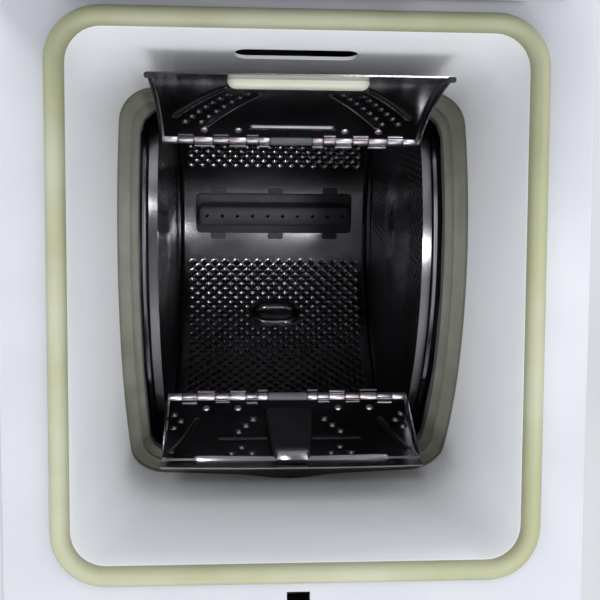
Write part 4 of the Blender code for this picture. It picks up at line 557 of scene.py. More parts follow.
upright = [e for e in slot.edges if abs(e.verts[0].co.y - e.verts[1].co.y) > INLET[1] / 2]
soften(slot, upright, INLET_CORNER, 4)
bmesh.ops.translate(slot, vec=(0.0, MOUTH_Y + MOUTH[1], DECK - INLET_DROP), verts=slot.verts[:])
carve(funnel, slot)
# The funnel wears the lighter copy of the white plastic, painted light for its walls
piece("funnel_shell", funnel, "white_plastic", "cabinet", ["loading_funnel"], look="funnel_plastic")
print("funnel rim", RIM, RIM_RADIUS)

# %% [markdown]
# Grey rubber bellows close the gap between the fixed funnel and the floating tub. Cloth could be pinned
# to both, but moulded folds keep their shape, so they are modelled, with a deeper bay below the funnel's
# hump.

# %% Bellows
BELLOWS_WALL = 0.0024
BELLOWS_WAVE = 0.0035
BELLOWS_FOLDS = (0.0, 1.0, -0.6, 1.0, 0.0)
BELLOWS_STEPS = 24
NECK_CORNER = 0.024
BAY_OUT = 0.022
BAY_DROP = 0.050
NECK_BAND = 0.0002
RIM_FIT = 0.0006

rubber = [v.co for v in NODES["bellows"].data.vertices]
NECK_RADIUS = min(off_axis(p) for p in rubber)
NECK, NECK_MIDDLE = extent([p for p in rubber if off_axis(p) < NECK_RADIUS + NECK_BAND], BELLOWS_WALL)
TOP_RADIUS = RIM_RADIUS - RIM_FIT


def fold(share):
    """Sideways wave of the bellows at a share of its way down."""
    spot = share * (len(BELLOWS_FOLDS) - 1)
    first = min(int(spot), len(BELLOWS_FOLDS) - 2)
    ease = 0.5 - 0.5 * cos(pi * (spot - first))
    return BELLOWS_WAVE * mixed(BELLOWS_FOLDS[first], BELLOWS_FOLDS[first + 1], ease)


bellows = bmesh.new()
loops = []
for k in range(BELLOWS_STEPS + 1):
    share = k / BELLOWS_STEPS
    grow = fold(share)
    half = mixed(RIM, NECK, share)
    ring = rounded_loop(
        bellows,
        (half[0] + grow, half[1] + grow),
        mixed(RIM_CORNER, NECK_CORNER, share) + grow,
        mixed(RIM_MIDDLE, NECK_MIDDLE, share),
    )
    radius = mixed(TOP_RADIUS, NECK_RADIUS, share)
    lift(ring, lambda x, y: on_axis(radius, y) - sin(pi * share) * BAY_DROP * hump(x, y) / HUMP)
    for vert in {v for e in ring for v in e.verts}:
        vert.co.y -= (1 - share**2) * BAY_OUT * hump(vert.co.x, vert.co.y) / HUMP
    loops.append(ring)
skin(bellows, loops, wall=BELLOWS_WALL)
bellows_piece = piece("bellows_skin", bellows, "grey_rubber", stands_for=["bellows"])
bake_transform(bellows_piece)
print("bellows neck", NECK, NECK_RADIUS)

# %% [markdown]
# The drum's pieces are made flat, rolled round the drum's axis and set into its turned frame. The two
# flap hinges give the drum's radius, its tilt and the angle of its opening. Sheets could be swept as
# arcs, but a flat sheet takes holes and ribs easily before it is rolled.

# %% The drum's frame and helpers for sheet metal
SHEET = 0.0012
PIN_TO_SHEET = 0.0021
ROOT_GAP = 0.0052


def round_axis(joint):
    """Angle from the top and distance from the drum's axis of a joint."""
    away = Vector(JOINTS[joint]["pos_m"]) - AXIS
    return atan2(-away.y, away.z), hypot(away.y, away.z)


REAR_TURN, RADIUS = round_axis("rear_flap_swing")
FRONT_TURN, RADIUS = round_axis("front_flap_swing")
TILT = (REAR_TURN + FRONT_TURN) / 2
HALF = (FRONT_TURN - REAR_TURN) / 2
SHEET_IN = RADIUS - PIN_TO_SHEET
WINDOW = HALF + ROOT_GAP / RADIUS
IN_DRUM = Matrix.Translation(AXIS) @ Matrix.Rotation(TILT, 4, "X")


def swung(joint):
    """The swing of a flap from shut, as it is made, to open, as it stands at rest."""
    hinge = JOINTS[joint]
    pin = Vector(hinge["pos_m"])
    swing = Matrix.Rotation(-radians(hinge["range_deg"][1]), 4, Vector(hinge["axis"]))
    return Matrix.Translation(pin) @ swing @ Matrix.Translation(-pin)


def moved(bm, matrix):
    """Move a whole mesh."""
    bmesh.ops.transform(bm, matrix=matrix, verts=bm.verts[:])


def roll(bm):
    """Roll a flat sheet; its y runs from the top round to the front and its z goes outwards."""
    for vert in bm.verts:
        x, y, z = vert.co
        turn = y / SHEET_IN
        vert.co = (x, -(SHEET_IN + z) * sin(turn), (SHEET_IN + z) * cos(turn))
    moved(bm, IN_DRUM)


def rectangle(bm, low, high, cells):
    """A flat grid between two corners; returns its points."""
    made = bmesh.ops.create_grid(bm, x_segments=cells[0], y_segments=cells[1], size=0.5)["verts"]
    bmesh.ops.scale(bm, vec=(high[0] - low[0], high[1] - low[1], 1.0), verts=made)
    bmesh.ops.translate(bm, vec=((low[0] + high[0]) / 2, (low[1] + high[1]) / 2, 0.0), verts=made)
    return made


print("drum radius", RADIUS, "tilt", TILT)

# %% [markdown]
# The drum's sheet is perforated. A grid of diamonds gives the rows, each diamond is inset to a ring
# and pressed outwards to a dish, and the middle of the dish is the hole. Booleans would be far slower.

# %% Helpers for perforated sheet
PITCH = (0.0147, 0.0129)
DIAMOND = PITCH[0] * PITCH[1] / 2
DISH = ((0.0026, 0.0008), (0.0015, 0.0004))
DISH_RIM = 0.0040
DISH_FLAT = cos(pi / 8)
SLIVER = 0.0003
FIRST_INSET = 0.0006
WHOLE = DIAMOND / 1000


def cut_off(bm, place, side):
    """Cut away what lies beyond a plane."""
    bmesh.ops.bisect_plane(
        bm,
        geom=bm.verts[:] + bm.edges[:] + bm.faces[:],
        dist=1e-7,
        plane_co=place,
        plane_no=side,
        clear_outer=True,
    )


def diamonds(bm, half, low, high):
    """A flat sheet of diamonds, of a half width and between two places along y."""
    count = 2 * int(half / PITCH[0] + (high - low) / 2 / PITCH[1] + 2)
    made = bmesh.ops.create_grid(bm, x_segments=count, y_segments=count, size=count / 2)["verts"]
    bmesh.ops.rotate(bm, cent=(0.0, 0.0, 0.0), matrix=Matrix.Rotation(pi / 4, 3, "Z"), verts=made)
    bmesh.ops.scale(bm, vec=(PITCH[0] / sqrt(2), PITCH[1] / sqrt(2), 1.0), verts=made)
    bmesh.ops.translate(bm, vec=(0.0, (low + high) / 2, 0.0), verts=made)
    cut_off(bm, (half, 0.0, 0.0), (1.0, 0.0, 0.0))
    cut_off(bm, (-half, 0.0, 0.0), (-1.0, 0.0, 0.0))
    cut_off(bm, (0.0, high, 0.0), (0.0, 1.0, 0.0))
    cut_off(bm, (0.0, low, 0.0), (0.0, -1.0, 0.0))
    bmesh.ops.remove_doubles(bm, verts=bm.verts[:], dist=SLIVER)


def perforate(bm, wanted):
    """Press a dish with a hole into each whole diamond whose middle is wanted."""
    cells = []
    for face in bm.faces:
        if abs(face.calc_area() - DIAMOND) < WHOLE and wanted(face.calc_center_median()):
            cells.append(face)
    bmesh.ops.inset_individual(bm, faces=cells, thickness=FIRST_INSET, use_even_offset=True)
    bmesh.ops.bisect_edges(bm, edges=list({e for f in cells for e in f.edges}), cuts=1)
    for cell in cells:
        middle = cell.calc_center_median()
        for vert in cell.verts:
            vert.co = middle + (vert.co - middle).normalized() * DISH_RIM
    known = DISH_RIM
    for radius, press in DISH:
        step = (known - radius) * DISH_FLAT
        bmesh.ops.inset_individual(bm, faces=cells, thickness=step, depth=press, use_even_offset=True)
        known = radius
    bmesh.ops.delete(bm, geom=cells, context="FACES_ONLY")
    return len(cells)


# %% [markdown]
# The sheet runs round from hinge to hinge as two halves that meet under the bottom lifter. Each side
# edge has a rolled bead, and narrow strips close the ring beside the opening. No dishes are pressed
# under the lifters or round the oblong boss.

# %% Perforated drum sheet
SHEET_HALF = 0.1185
STRIP_HALF = 0.1143
STRIP_CELLS = (1, 30)
BEAD = (
    (0.1215, 0.0),
    (0.1230, -0.0012),
    (0.1245, -0.0023),
    (0.1260, -0.0012),
    (0.1275, 0.0),
    (0.1320, 0.0),
)
LIFTER_TURNS = (pi - 0.031, pi / 3, -pi / 3)
LIFTER_PLAIN = radians(16.5)
BOSS_TURN = radians(142.8)
BOSS = (0.031, 0.018)
BOSS_PLAIN = 0.004
EDGE_PLAIN = 0.010


def extruded(bm, line):
    """Extrude a line of edges; returns the new points and the new line."""
    made = bmesh.ops.extrude_edge_only(bm, edges=line)["geom"]
    fresh = {part for part in made if isinstance(part, bmesh.types.BMVert)}
    return fresh, [e for e in made if isinstance(e, bmesh.types.BMEdge) and set(e.verts) <= fresh]


def bead(bm, edge):
    """Run the beaded edge of the sheet sideways from the edges at one x."""
    line = [e for e in bm.edges if all(abs(v.co.x - edge) < 1e-5 for v in e.verts)]
    for x, z in BEAD:
        fresh, line = extruded(bm, line)
        for vert in fresh:
            vert.co.x = x if edge > 0 else -x
            vert.co.z = z


def takes_dish(place):
    """Whether a dish is pressed at a place on the flat drum sheet."""
    turn = place.y / SHEET_IN
    if abs(turn) < WINDOW + EDGE_PLAIN / SHEET_IN:
        return False
    for lifter in LIFTER_TURNS:
        if abs((turn - lifter + pi) % tau - pi) < LIFTER_PLAIN:
            return False
    aside = max(0.0, abs(place.x) - BOSS[0] + BOSS[1])
    return hypot(aside, place.y - BOSS_TURN * SHEET_IN) > BOSS[1] + BOSS_PLAIN


def facing(bm, wanted):
    """Turn all faces of an open sheet to the side of a wanted direction."""
    bmesh.ops.recalc_face_normals(bm, faces=bm.faces[:])
    bm.normal_update()
    if sum(f.normal.dot(wanted(f.calc_center_median())) for f in bm.faces) < 0.0:
        bmesh.ops.reverse_faces(bm, faces=bm.faces[:])


def to_axis(place):
    """The direction from a place towards the drum's axis."""
    return Vector((0.0, AXIS.y - place.y, AXIS.z - place.z)).normalized()


for name, low, high in (("front", WINDOW, pi), ("rear", -pi, -WINDOW)):
    half_sheet = bmesh.new()
    diamonds(half_sheet, SHEET_HALF, low * SHEET_IN, high * SHEET_IN)
    count = perforate(half_sheet, takes_dish)
    bead(half_sheet, SHEET_HALF)
    bead(half_sheet, -SHEET_HALF)
    roll(half_sheet)
    facing(half_sheet, to_axis)
    piece("drum_sheet_" + name, half_sheet, "stainless_steel", "drum", ["drum_wrapper"], sheet=SHEET)
    print("drum sheet", name, "with", count, "holes")

strips = bmesh.new()
for side in (-1, 1):
    reach = WINDOW * SHEET_IN
    edges = sorted((side * STRIP_HALF, side * SHEET_HALF))
    rectangle(strips, (edges[0], -reach), (edges[1], reach), STRIP_CELLS)
    bead(strips, side * SHEET_HALF)
roll(strips)
facing(strips, to_axis)
piece("drum_strips", strips, "stainless_steel", "drum", sheet=SHEET)

# %% [markdown]
# The boss and the lifters are mounds on the sheet: stacks of rounded loops that shrink upwards. The
# lifters are grey plastic: a flat flange with clips, and an upright ridge with a row of holes. Bevelled
# boxes would do too, but stacked loops give flange and ridge in one piece and roll with the sheet.

# %% Lifters and boss
LIFTER_LOOPS = (
    (0.1060, 0.0270, 0.0),
    (0.1060, 0.0270, 0.0024),
    (0.1055, 0.0263, 0.0040),
    (0.1035, 0.0240, 0.0048),
    (0.1018, 0.0170, 0.0062),
    (0.1010, 0.0152, 0.0080),
    (0.1005, 0.0146, 0.0300),
    (0.1000, 0.0142, 0.0340),
    (0.0992, 0.0134, 0.0354),
    (0.0980, 0.0122, 0.0360),
)
LIFTER_CORNER = 0.006
ROUNDEST = 0.98
RIDGE_HOLES = 10
RIDGE_PITCH = 0.0199
HOLE_RADIUS = 0.0024
HOLE_DEPTH = 0.020
HOLE_SIDES = 14
CLIPS = (-0.076, 0.002, 0.076)
CLIP_ASIDE = 0.0290
CLIP_CORNER = 0.0015
CLIP_LOOPS = ((0.0100, 0.0060, 0.0), (0.0100, 0.0060, 0.0022), (0.0092, 0.0052, 0.0030))
BOSS_LOOPS = (
    (0.0310, 0.0180, 0.0),
    (0.0302, 0.0172, 0.0012),
    (0.0280, 0.0150, 0.0040),
    (0.0268, 0.0138, 0.0050),
    (0.0240, 0.0110, 0.0054),
    (0.0220, 0.0090, 0.0040),
    (0.0205, 0.0075, 0.0034),
)
BOSS_MIDDLE = (0.001, BOSS_TURN * SHEET_IN)


def mound(bm, loops, corner, middle):
    """A closed stack of shrinking loops that rises from the sheet to the axis."""
    rings = []
    for half_x, half_y, height in loops:
        bend = min(corner, ROUNDEST * half_y)
        ring = rounded_loop(bm, (half_x, half_y), bend, middle, cuts=7, bend=6)
        lift(ring, lambda x, y: -height)
        rings.append(ring)
    skin(bm, rings)
    bmesh.ops.contextual_create(bm, geom=rings[0])
    bmesh.ops.contextual_create(bm, geom=rings[-1])


for label, turn in zip(("bottom", "front", "rear"), LIFTER_TURNS):
    lifter = bmesh.new()
    mound(lifter, LIFTER_LOOPS, LIFTER_CORNER, (0.0, 0.0))
    drills = bmesh.new()
    for k in range(RIDGE_HOLES):
        spot = Matrix.Translation(((k - (RIDGE_HOLES - 1) / 2) * RIDGE_PITCH, 0.0, -LIFTER_LOOPS[-1][2]))
        bmesh.ops.create_cone(
            drills,
            cap_ends=True,
            segments=HOLE_SIDES,
            radius1=HOLE_RADIUS,
            radius2=HOLE_RADIUS,
            depth=HOLE_DEPTH * 2,
            matrix=spot,
        )
    carve(lifter, drills)
    for x in CLIPS:
        for side in (-1, 1):
            mound(lifter, CLIP_LOOPS, CLIP_CORNER, (x, side * CLIP_ASIDE))
    bmesh.ops.translate(lifter, vec=(0.0, turn * SHEET_IN, 0.0), verts=lifter.verts[:])
    roll(lifter)
    piece(label + "_lifter_skin", lifter, "grey_plastic", "drum", [label + "_lifter"])
boss = bmesh.new()
mound(boss, BOSS_LOOPS, BOSS[1], BOSS_MIDDLE)
roll(boss)
piece("drum_boss", boss, "stainless_steel", "drum")
print("lifters:", len(LIFTER_TURNS))

# %% [markdown]
# The drum's end discs are flat perforated sheets, cut round, with a spun hub in the middle and a bead
# near the rim. Outside, the hub carries the shaft and a spider of three arms. A disc of rings would be
# rounder, but the holes stand in straight rows.

# %% Drum ends
END_HALF = 0.132
END_INSET = 0.0015
END_RADIUS = 0.2262
END_SIDES = 64
END_HOLES = (0.084, 0.198)
HUB_LINE = (
    (0.0001, 0.0072),
    (0.0260, 0.0072),
    (0.0300, 0.0066),
    (0.0360, 0.0054),
    (0.0580, 0.0016),
    (0.0640, 0.0008),
    (0.0800, 0.0002),
)
RIM_BEAD = ((0.2050, 0.0002), (0.2070, 0.0012), (0.2100, 0.0020), (0.2130, 0.0012), (0.2150, 0.0002))
RIM_STEPS = 72
SHAFT_RADIUS = 0.012
HUB_FLANGE = 0.056
HUB_LEVELS = (-0.009, -0.003)
ARMS = 3
ARM = (0.030, 0.150, 0.006)
ARM_PLACE = (0.0, 0.125, -0.0065)


def turned(bm, line, steps=48):
    """Spin a line of (radius, height) pairs round the z axis; returns the new points."""
    known = set(bm.verts)
    chain = []
    for radius, height in line:
        chain += bmesh.ops.create_vert(bm, co=(radius, 0.0, height))["vert"]
    edges = [bm.edges.new(pair) for pair in zip(chain, chain[1:])]
    bmesh.ops.spin(
        bm,
        geom=chain + edges,
        cent=(0.0, 0.0, 0.0),
        axis=(0.0, 0.0, 1.0),
        angle=tau,
        steps=steps,
        use_merge=True,
    )
    return [v for v in bm.verts if v not in known]


for label, side in (("left", -1), ("right", 1)):
    shaft = max(abs(corner.x - AXIS.x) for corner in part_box("drum_" + label + "_end")) - END_HALF
    at_end = IN_DRUM @ Matrix.Translation((side * (END_HALF - END_INSET), 0.0, 0.0))
    at_end = at_end @ Matrix.Rotation(-side * pi / 2, 4, "Y")
    disc = bmesh.new()
    diamonds(disc, END_RADIUS, -END_RADIUS, END_RADIUS)
    for k in range(END_SIDES):
        out = Vector((cos(tau * k / END_SIDES), sin(tau * k / END_SIDES), 0.0))
        cut_off(disc, out * END_RADIUS, out)
    bmesh.ops.remove_doubles(disc, verts=disc.verts[:], dist=SLIVER)
    perforate(disc, lambda place: END_HOLES[0] < hypot(place.x, place.y) < END_HOLES[1])
    bmesh.ops.scale(disc, vec=(1.0, 1.0, -1.0), verts=disc.verts[:])
    moved(disc, at_end)
    facing(disc, lambda place: Vector((-side, 0.0, 0.0)))
    replaced = ["drum_" + label + "_end"]
    piece("drum_" + label + "_disc", disc, "stainless_steel", "drum", replaced, sheet=SHEET)
    hub = bmesh.new()
    turned(hub, HUB_LINE)
    turned(hub, RIM_BEAD, RIM_STEPS)
    shaft_line = [(0.0001, -shaft), (SHAFT_RADIUS, -shaft), (SHAFT_RADIUS, HUB_LEVELS[0])]
    turned(hub, shaft_line + [(HUB_FLANGE, level) for level in HUB_LEVELS])
    for k in range(ARMS):
        arm = brick(hub, ARM)
        bmesh.ops.translate(hub, vec=ARM_PLACE, verts=arm)
        spoke = Matrix.Rotation(tau * k / ARMS, 3, "Z")
        bmesh.ops.rotate(hub, cent=(0.0, 0.0, 0.0), matrix=spoke, verts=arm)
    moved(hub, at_end)
    piece("drum_" + label + "_hub", hub, "stainless_steel", "drum")
print("drum ends done")

# %% [markdown]
# Each flap hangs on a long hinge: rolled eyes of drum and flap take turns along the pin, with a grey
# sleeve over the spring in the middle. An eye could be rolled from a strip, but its seam never shows,
# so a round bar with soft rims does.

# %% Hinges
EYES = (0.009, 0.010, 0.0145, 0.013, 0.016, 0.013, 0.013)
EYE_GAP = 0.0006
EYE_RADIUS = 0.0046
SLEEVE = (0.0362, 0.0050)
PIN_RADIUS = 0.0020
FINGER = (0.0047, 0.0060)
FINGER_DROP = 0.0019
SHARP_RIM = 1.0

spans = []
reach = SLEEVE[0] / 2 + EYE_GAP
for number, length in enumerate(EYES):
    kind = ("drum", "flap")[number % 2]
    spans.append((reach, reach + length, kind))
    spans.append((-reach - length, -reach, kind))
    reach += length + EYE_GAP
HINGE_HALF = reach


def bar(bm, low, high, radius, place, edge=0.0006, sides=24):
    """A round bar along x at a place across it, with rounded rims."""
    at = Matrix.Translation(((low + high) / 2, *place)) @ Matrix.Rotation(pi / 2, 4, "Y")
    made = bmesh.ops.create_cone(
        bm, cap_ends=True, segments=sides, radius1=radius, radius2=radius, depth=high - low, matrix=at
    )["verts"]
    bm.normal_update()
    rims = {e for v in made for e in v.link_edges if e.calc_face_angle() > SHARP_RIM}
    soften(bm, rims, edge)


for label, turn, door in (("rear", -HALF, "rear_door"), ("front", HALF, "front_door")):
    pin = (-RADIUS * sin(turn), RADIUS * cos(turn))
    outer = 1 if turn > 0 else -1
    for kind, body in (("drum", "drum"), ("flap", door)):
        eyes = bmesh.new()
        for low, high, owner in spans:
            if owner == kind:
                bar(eyes, low, high, EYE_RADIUS, pin)
        moved(eyes, IN_DRUM)
        piece(label + "_" + kind + "_eyes", eyes, "plated_steel", body)
        fingers = bmesh.new()
        for low, high, owner in spans:
            if owner == kind and max(abs(low), abs(high)) < HINGE_HALF - 2 * EYE_GAP:
                ends = sorted(turn * SHEET_IN - outer * away for away in FINGER)
                rectangle(fingers, (low, ends[0]), (high, ends[1]), (1, 1))
        for vert in fingers.verts:
            vert.co.z = -FINGER_DROP
        roll(fingers)
        facing(fingers, to_axis)
        if kind == "flap":
            moved(fingers, swung(label + "_flap_swing"))
        piece(label + "_" + kind + "_fingers", fingers, "plated_steel", body, sheet=SHEET)
    for name, half, radius, slot in (
        ("_hinge_pin", HINGE_HALF, PIN_RADIUS, "plated_steel"),
        ("_spring_sleeve", SLEEVE[0] / 2, SLEEVE[1], "grey_plastic"),
    ):
        rod = bmesh.new()
        bar(rod, -half, half, radius, pin)
        moved(rod, IN_DRUM)
        piece(label + name + "_skin", rod, slot, "drum", [label + name])
print("hinge eyes:", 2 * len(spans))

# %% [markdown]
# The flaps are rolled sheets with pressed ribs and dimples and a flange down each side. A fine grid
# takes every rib as a smooth swelling, which is how a press forms it; a boolean would leave creases.

# %% Helpers for pressed sheet
FLAP_WIDTHS = (0.2222, 0.2180)
FLAP_CELLS = (200, 128)
FLANGE = 0.0077
FLANGE_BEND = 0.0010
FLANGE_LIP = 0.0003
JOGGLE = 0.0016
JOGGLE_LEAD = 0.005
JOGGLE_RAMP = 0.003
FLANGE_ROWS = (-0.5, -1.0)


def swelling(x, t, features):
    """Height of the highest rib or dimple at a place on a flat flap."""
    best = 0.0
    for (x0, t0), (x1, t1), reach, height in features:
        run = (x1 - x0) ** 2 + (t1 - t0) ** 2
        share = ((x - x0) * (x1 - x0) + (t - t0) * (t1 - t0)) / run if run else 0.0
        share = min(1.0, max(0.0, share))
        gap = hypot(x - x0 - share * (x1 - x0), t - t0 - share * (t1 - t0)) / reach
        if gap < 1.0:
            best = max(best, height * (1.0 - gap**2) ** 1.5)
    return best


def both_sides(marks):
    """The same ribs on the left and on the right."""
    marked = []
    for start, stop, reach, height in marks:
        for side in (-1, 1):
            ends = [(side * x / 1000, t / 1000) for x, t in (start, stop)]
            marked.append((*ends, reach / 1000, height / 1000))
    return marked


def row(start, stop, count, reach, height):
    """A row of dimples, as ribs without length."""
    spots = [mixed(start, stop, k / (count - 1)) for k in range(count)]
    return [(spot, spot, reach, height) for spot in spots]


def pressed_flap(turn, heading, length, features, lap=0.0, bow=0.0):
    """A flat sheet with ribs and flanges, set where it is rolled from its hinge."""
    bm = bmesh.new()
    rectangle(bm, (-1.0, ROOT_GAP), (1.0, length), FLAP_CELLS)
    for side in (-1.0, 1.0):
        line = [e for e in bm.edges if all(abs(v.co.x - side) < 1e-6 for v in e.verts)]
        for flag in FLANGE_ROWS:
            fresh, line = extruded(bm, line)
            for vert in fresh:
                vert.co.z = flag
    for vert in bm.verts:
        share, t, flag = vert.co
        half = mixed(FLAP_WIDTHS[0], FLAP_WIDTHS[1], t / length) / 2 - SHEET
        fade = max(0.0, 1.0 - (t / (length - lap - JOGGLE_LEAD if lap else length)) ** 4)
        if flag == 0.0:
            x = share * (half - FLANGE_BEND)
            z = -swelling(x, t, features)
        else:
            x = share * half
            z = -FLANGE_BEND * fade if flag == FLANGE_ROWS[0] else -FLANGE_LIP - FLANGE * fade
        t += bow * (t / length) ** 2 * (1.0 - share**2)
        if lap:
            z += JOGGLE * min(1.0, max(0.0, (t - length + lap + JOGGLE_LEAD) / JOGGLE_RAMP))
        vert.co = (x, (turn + heading * t / RADIUS) * SHEET_IN, z)
    return bm


def studs(spots, turn, heading, radius, height):
    """Round rivet heads on the inner face of a flap."""
    bm = bmesh.new()
    for x, t in spots:
        for side in (-1, 1):
            along = (turn + heading * t / 1000 / RADIUS) * SHEET_IN
            place = Matrix.Translation((side * x / 1000, along, 0.0))
            shape = Matrix.Diagonal((radius, radius, height, 1.0))
            bmesh.ops.create_uvsphere(bm, u_segments=14, v_segments=8, radius=1.0, matrix=place @ shape)
    return bm


# %% [markdown]
# The rear flap is the long one. Two pairs of slanted ribs with rows of dimples between them stiffen
# it, a short rib runs along the hinge, and an ivory grip strip and two rubber bumpers are at its tip. It
# could be modelled open at once, but its ribs are easiest to place flat, so it is rolled and swung later.

# %% Rear flap
REAR_LENGTH = radians(37.5) * RADIUS
REAR_MARKS = both_sides(
    [((54, 96), (97, 38), 3.2, 1.7), ((28, 82), (72, 23), 2.8, 1.3)]
    + row((53.5, 79), (89.7, 27.8), 7, 3.0, 1.7)
    + row((37, 82), (76.2, 27.2), 7, 3.0, 1.7)
)
SHORT_RIB = ((-0.0335, 0.0207), (0.0335, 0.0207), 0.0034, 0.0018)
REAR_RIVETS = ((74.5, 15.5), (45.5, 15.5))
RIVET = (0.0032, 0.0014)
GRIP_FROM_HINGE = 0.1165
GRIP_LOOPS = (
    (0.0530, 0.0074, 0.0),
    (0.0528, 0.0072, 0.0016),
    (0.0518, 0.0064, 0.0034),
    (0.0504, 0.0051, 0.0046),
    (0.0488, 0.0034, 0.0053),
    (0.0474, 0.0018, 0.0055),
)
BUMPER = (0.006, 0.005, 0.004)
BUMPER_INSET = 0.0015
BUMPER_LEVEL = -0.0012
BUMPER_EDGE = 0.0014

rear_open = swung("rear_flap_swing")
rear = pressed_flap(-HALF, 1, REAR_LENGTH, REAR_MARKS + [SHORT_RIB])
roll(rear)
facing(rear, to_axis)
moved(rear, rear_open)
piece("rear_flap_sheet", rear, "stainless_steel", "rear_door", ["rear_flap"], sheet=SHEET)
rivets = studs(REAR_RIVETS, -HALF, 1, *RIVET)
roll(rivets)
moved(rivets, rear_open)
piece("rear_flap_rivets", rivets, "plated_steel", "rear_door")
grip = bmesh.new()
mound(grip, GRIP_LOOPS, GRIP_LOOPS[0][1], (0.0, (-HALF + GRIP_FROM_HINGE / RADIUS) * SHEET_IN))
roll(grip)
moved(grip, rear_open)
piece("grip_strip_skin", grip, "ivory_plastic", "rear_door", ["grip_strip"])
bumpers = bmesh.new()
for side in (-1, 1):
    block = brick(bumpers, BUMPER)
    aside = side * (FLAP_WIDTHS[1] / 2 - BUMPER_INSET)
    corner = (aside, (-HALF + REAR_LENGTH / RADIUS) * SHEET_IN, BUMPER_LEVEL)
    bmesh.ops.translate(bumpers, vec=corner, verts=block)
soften(bumpers, bumpers.edges[:], BUMPER_EDGE, 3)
roll(bumpers)
moved(bumpers, rear_open)
piece("rear_flap_bumpers", bumpers, "black_rubber", "rear_door")
print("rear flap", REAR_LENGTH, "long")

# %% [markdown]
# The front flap is shorter and carries the latch. Its tip is joggled so that it laps over the rear
# flap's edge when both are shut. It could be a mirrored copy of the rear flap, but its ribs, its lap
# and its bowed edge differ, so it is pressed by the same helper from its own marks.

# %% Front flap and latch
FRONT_LENGTH = radians(26.0) * RADIUS
FRONT_LAP = radians(2.3) * RADIUS
FRONT_MARKS = both_sides(
    [((83, 31), (101, 80), 2.6, 1.2), ((20, 58.7), (62, 58.7), 1.6, 0.5)]
    + row((32.2, 30.5), (45.2, 48.2), 3, 3.2, 2.0)
    + [((x, t), (x, t), 3.2, 2.0) for x, t in ((42.3, 72.2), (51, 82), (33.6, 82))]
    + [((x, t), (x, t), 3.2, 2.0) for x, t in ((103.3, 23.7), (97, 32.5), (102.4, 42))]
)
FRONT_BOW = 0.003
TIP_RIB = ((-0.080, 0.0895), (0.080, 0.0895), 0.0026, 0.0020)
FRONT_RIVETS = ((75, 15.5), (46, 15.5))
LATCH_START = 0.012
LATCH_END_GAP = 0.012
COVER_LOOPS = (
    (0.0205, 0.0, -0.0020),
    (0.0205, 0.0, 0.0060),
    (0.0196, 0.0010, 0.0080),
    (0.0180, 0.0026, 0.0088),
    (0.0150, 0.0060, 0.0084),
)
COVER_ENDS = (0.015, -0.001)
COVER_TAPER = 0.26
COVER_CORNER = 0.003
BOLT = (0.0270, 0.0460, 0.0056)
BOLT_TIP = 0.0060
BOLT_LEVEL = 0.0050
BOLT_BEVEL = 0.0062
BOLT_NOSE = 0.86
BOLT_EDGE = 0.0005

front_open = swung("front_flap_swing")
front = pressed_flap(HALF, -1, FRONT_LENGTH, FRONT_MARKS + [TIP_RIB], FRONT_LAP, FRONT_BOW)
roll(front)
facing(front, to_axis)
moved(front, front_open)
piece("front_flap_sheet", front, "stainless_steel", "front_door", ["front_flap"], sheet=SHEET)
rivets = studs(FRONT_RIVETS, HALF, -1, *RIVET)
roll(rivets)
moved(rivets, front_open)
piece("front_flap_rivets", rivets, "plated_steel", "front_door")

# The latch lies on the chord of the flap: a black housing, and a bolt whose bevelled tip looks out
ends = []
for t in (LATCH_START, FRONT_LENGTH - LATCH_END_GAP):
    turn = HALF - t / RADIUS
    ends.append(Vector((0.0, -SHEET_IN * sin(turn), SHEET_IN * cos(turn))))
chord = ends[1] - ends[0]
lean = atan2(chord.z, chord.y)
at_latch = IN_DRUM @ Matrix.Translation(ends[0]) @ Matrix.Rotation(lean, 4, "X")
cover = bmesh.new()
cover_half = (chord.length - sum(COVER_ENDS)) / 2
loops = [(half, cover_half - inset, height) for half, inset, height in COVER_LOOPS]
mound(cover, loops, COVER_CORNER, (0.0, COVER_ENDS[0] + cover_half))
for vert in cover.verts:
    vert.co.x *= 1.0 - COVER_TAPER * (vert.co.y - COVER_ENDS[0]) / (2 * cover_half)
moved(cover, front_open @ at_latch)
piece("latch_cover", cover, "black_plastic", "front_door", ["latch_guide"])
bolt = bmesh.new()
block = brick(bolt, BOLT)
for vert in block:
    if vert.co.y > 0 and vert.co.z < 0:
        vert.co.y -= BOLT_BEVEL
        vert.co.x *= BOLT_NOSE
bmesh.ops.translate(bolt, vec=(0.0, chord.length + BOLT_TIP - BOLT[1] / 2, -BOLT_LEVEL), verts=block)
soften(bolt, bolt.edges[:], BOLT_EDGE)
moved(bolt, front_open @ at_latch)
piece("latch_bolt_skin", bolt, "plated_steel", "latch", ["latch_bolt"], look="stainless_steel")
print("front flap", FRONT_LENGTH, "long")

# %% [markdown]
# The springs and the hose under the tub stretch when it floats.
# The CAD pieces have few sides; two rounds of subdivision make the wire and the folds round.

# %% Springs and hose
STRETCHED = (
    ("left_spring", "tub", "cabinet"),
    ("right_spring", "tub", "cabinet"),
    ("sump_hose", "cabinet", "tub"),
)
ROUNDS = 2

for name, lower, upper in STRETCHED:
    bm = bmesh.new()
    bm.from_mesh(NODES[name].data)
    bmesh.ops.remove_doubles(bm, verts=bm.verts[:], dist=WELD)
    stretched = piece(name + "_skin", bm, SLOT_OF[name], stands_for=[name])
    smooth = stretched.modifiers.new("round", "SUBSURF")
    smooth.levels = ROUNDS
    smooth.render_levels = ROUNDS
    low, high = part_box(name)
    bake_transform(stretched)
print("stretched pieces:", len(STRETCHED))

# %% [markdown]
# Small things outside: screws and air louvres in the rear panel, marks round the knob and a pointer
# on it. They could be drawn with a texture, but real relief also shows in a side view.

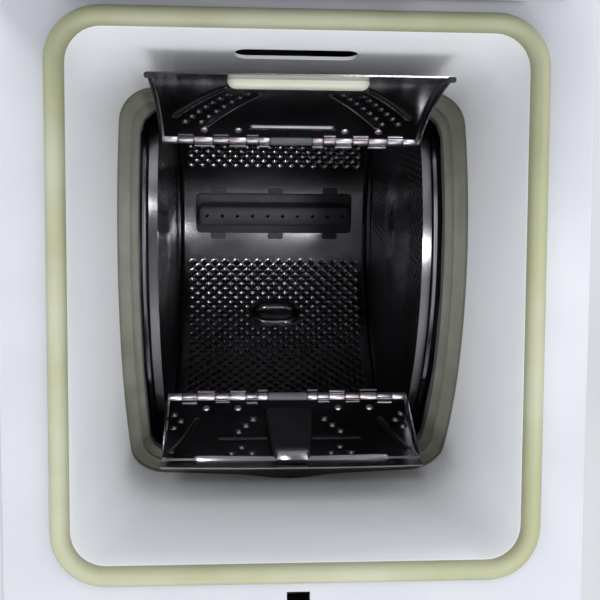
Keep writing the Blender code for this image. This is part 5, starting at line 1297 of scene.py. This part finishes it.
# %% Screws, louvres and marks on the console
SCREW_LINE = (
    (0.0001, 0.0012),
    (0.0013, 0.0012),
    (0.0018, 0.0024),
    (0.0030, 0.0021),
    (0.0040, 0.0012),
    (0.0044, -0.0004),
)
SCREW_SPOTS = [(side * 0.166, z) for side in (-1, 1) for z in (0.06, 0.24, 0.42, 0.60, 0.78)]
SCREW_SPOTS += [(0.0, 0.05), (0.0, 0.787)]
LOUVRES = 7
LOUVRE_HALF = 0.045
LOUVRE_STEP = 0.013
LOUVRE_LOW = 0.62
LOUVRE_RADIUS = 0.0036
LOUVRE_EDGE = 0.0024
MARKS = 11
MARK_RING = 0.0285
MARK_ARC = 150
MARK_LINE = ((0.0001, 0.0003), (0.0008, 0.0003), (0.0010, -0.0002))
POINTER = (0.0018, 0.0090, 0.0010)
POINTER_OUT = 0.0085
POINTER_EDGE = 0.0003

PANEL_LOW, PANEL_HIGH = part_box("rear_panel")
screws = bmesh.new()
for x, z in SCREW_SPOTS:
    head = turned(screws, SCREW_LINE, 16)
    seat = Matrix.Translation((x, PANEL_HIGH.y, z)) @ Matrix.Rotation(-pi / 2, 4, "X")
    bmesh.ops.transform(screws, matrix=seat, verts=head)
piece("rear_panel_screws", screws, "plated_steel", "cabinet")

louvres = bmesh.new()
recess = PANEL_LOW.y + SHEET
for k in range(LOUVRES):
    place = (recess, LOUVRE_LOW + k * LOUVRE_STEP)
    bar(louvres, -LOUVRE_HALF, LOUVRE_HALF, LOUVRE_RADIUS, place, LOUVRE_EDGE, sides=16)
piece("rear_panel_louvres", louvres, "white_enamel", "cabinet")


def console_top(node):
    """The highest level of a node along the knob's axis, from the knob's place."""
    return max((v.co - KNOB).dot(KNOB_AXIS) for v in NODES[node].data.vertices)


KNOB = Vector(JOINTS["knob_turn"]["pos_m"])
KNOB_AXIS = Vector(JOINTS["knob_turn"]["axis"])
upright = KNOB_AXIS.to_track_quat("Z", "Y").to_matrix().to_4x4()
marks = bmesh.new()
for k in range(MARKS):
    turn = radians(-MARK_ARC + 2 * MARK_ARC * k / (MARKS - 1))
    dot = turned(marks, MARK_LINE, 10)
    spot = (MARK_RING * sin(turn), MARK_RING * cos(turn), console_top("console_fascia"))
    bmesh.ops.translate(marks, vec=spot, verts=dot)
moved(marks, Matrix.Translation(KNOB) @ upright)
piece("console_marks", marks, "white_plastic", "cabinet")
pointer = bmesh.new()
block = brick(pointer, POINTER)
bmesh.ops.translate(pointer, vec=(0.0, POINTER_OUT, console_top("program_knob")), verts=block)
soften(pointer, pointer.edges[:], POINTER_EDGE)
moved(pointer, Matrix.Translation(KNOB) @ upright)
piece("knob_pointer", pointer, "black_plastic", "knob")
print("screws:", len(SCREW_SPOTS), "louvres:", LOUVRES, "marks:", MARKS)
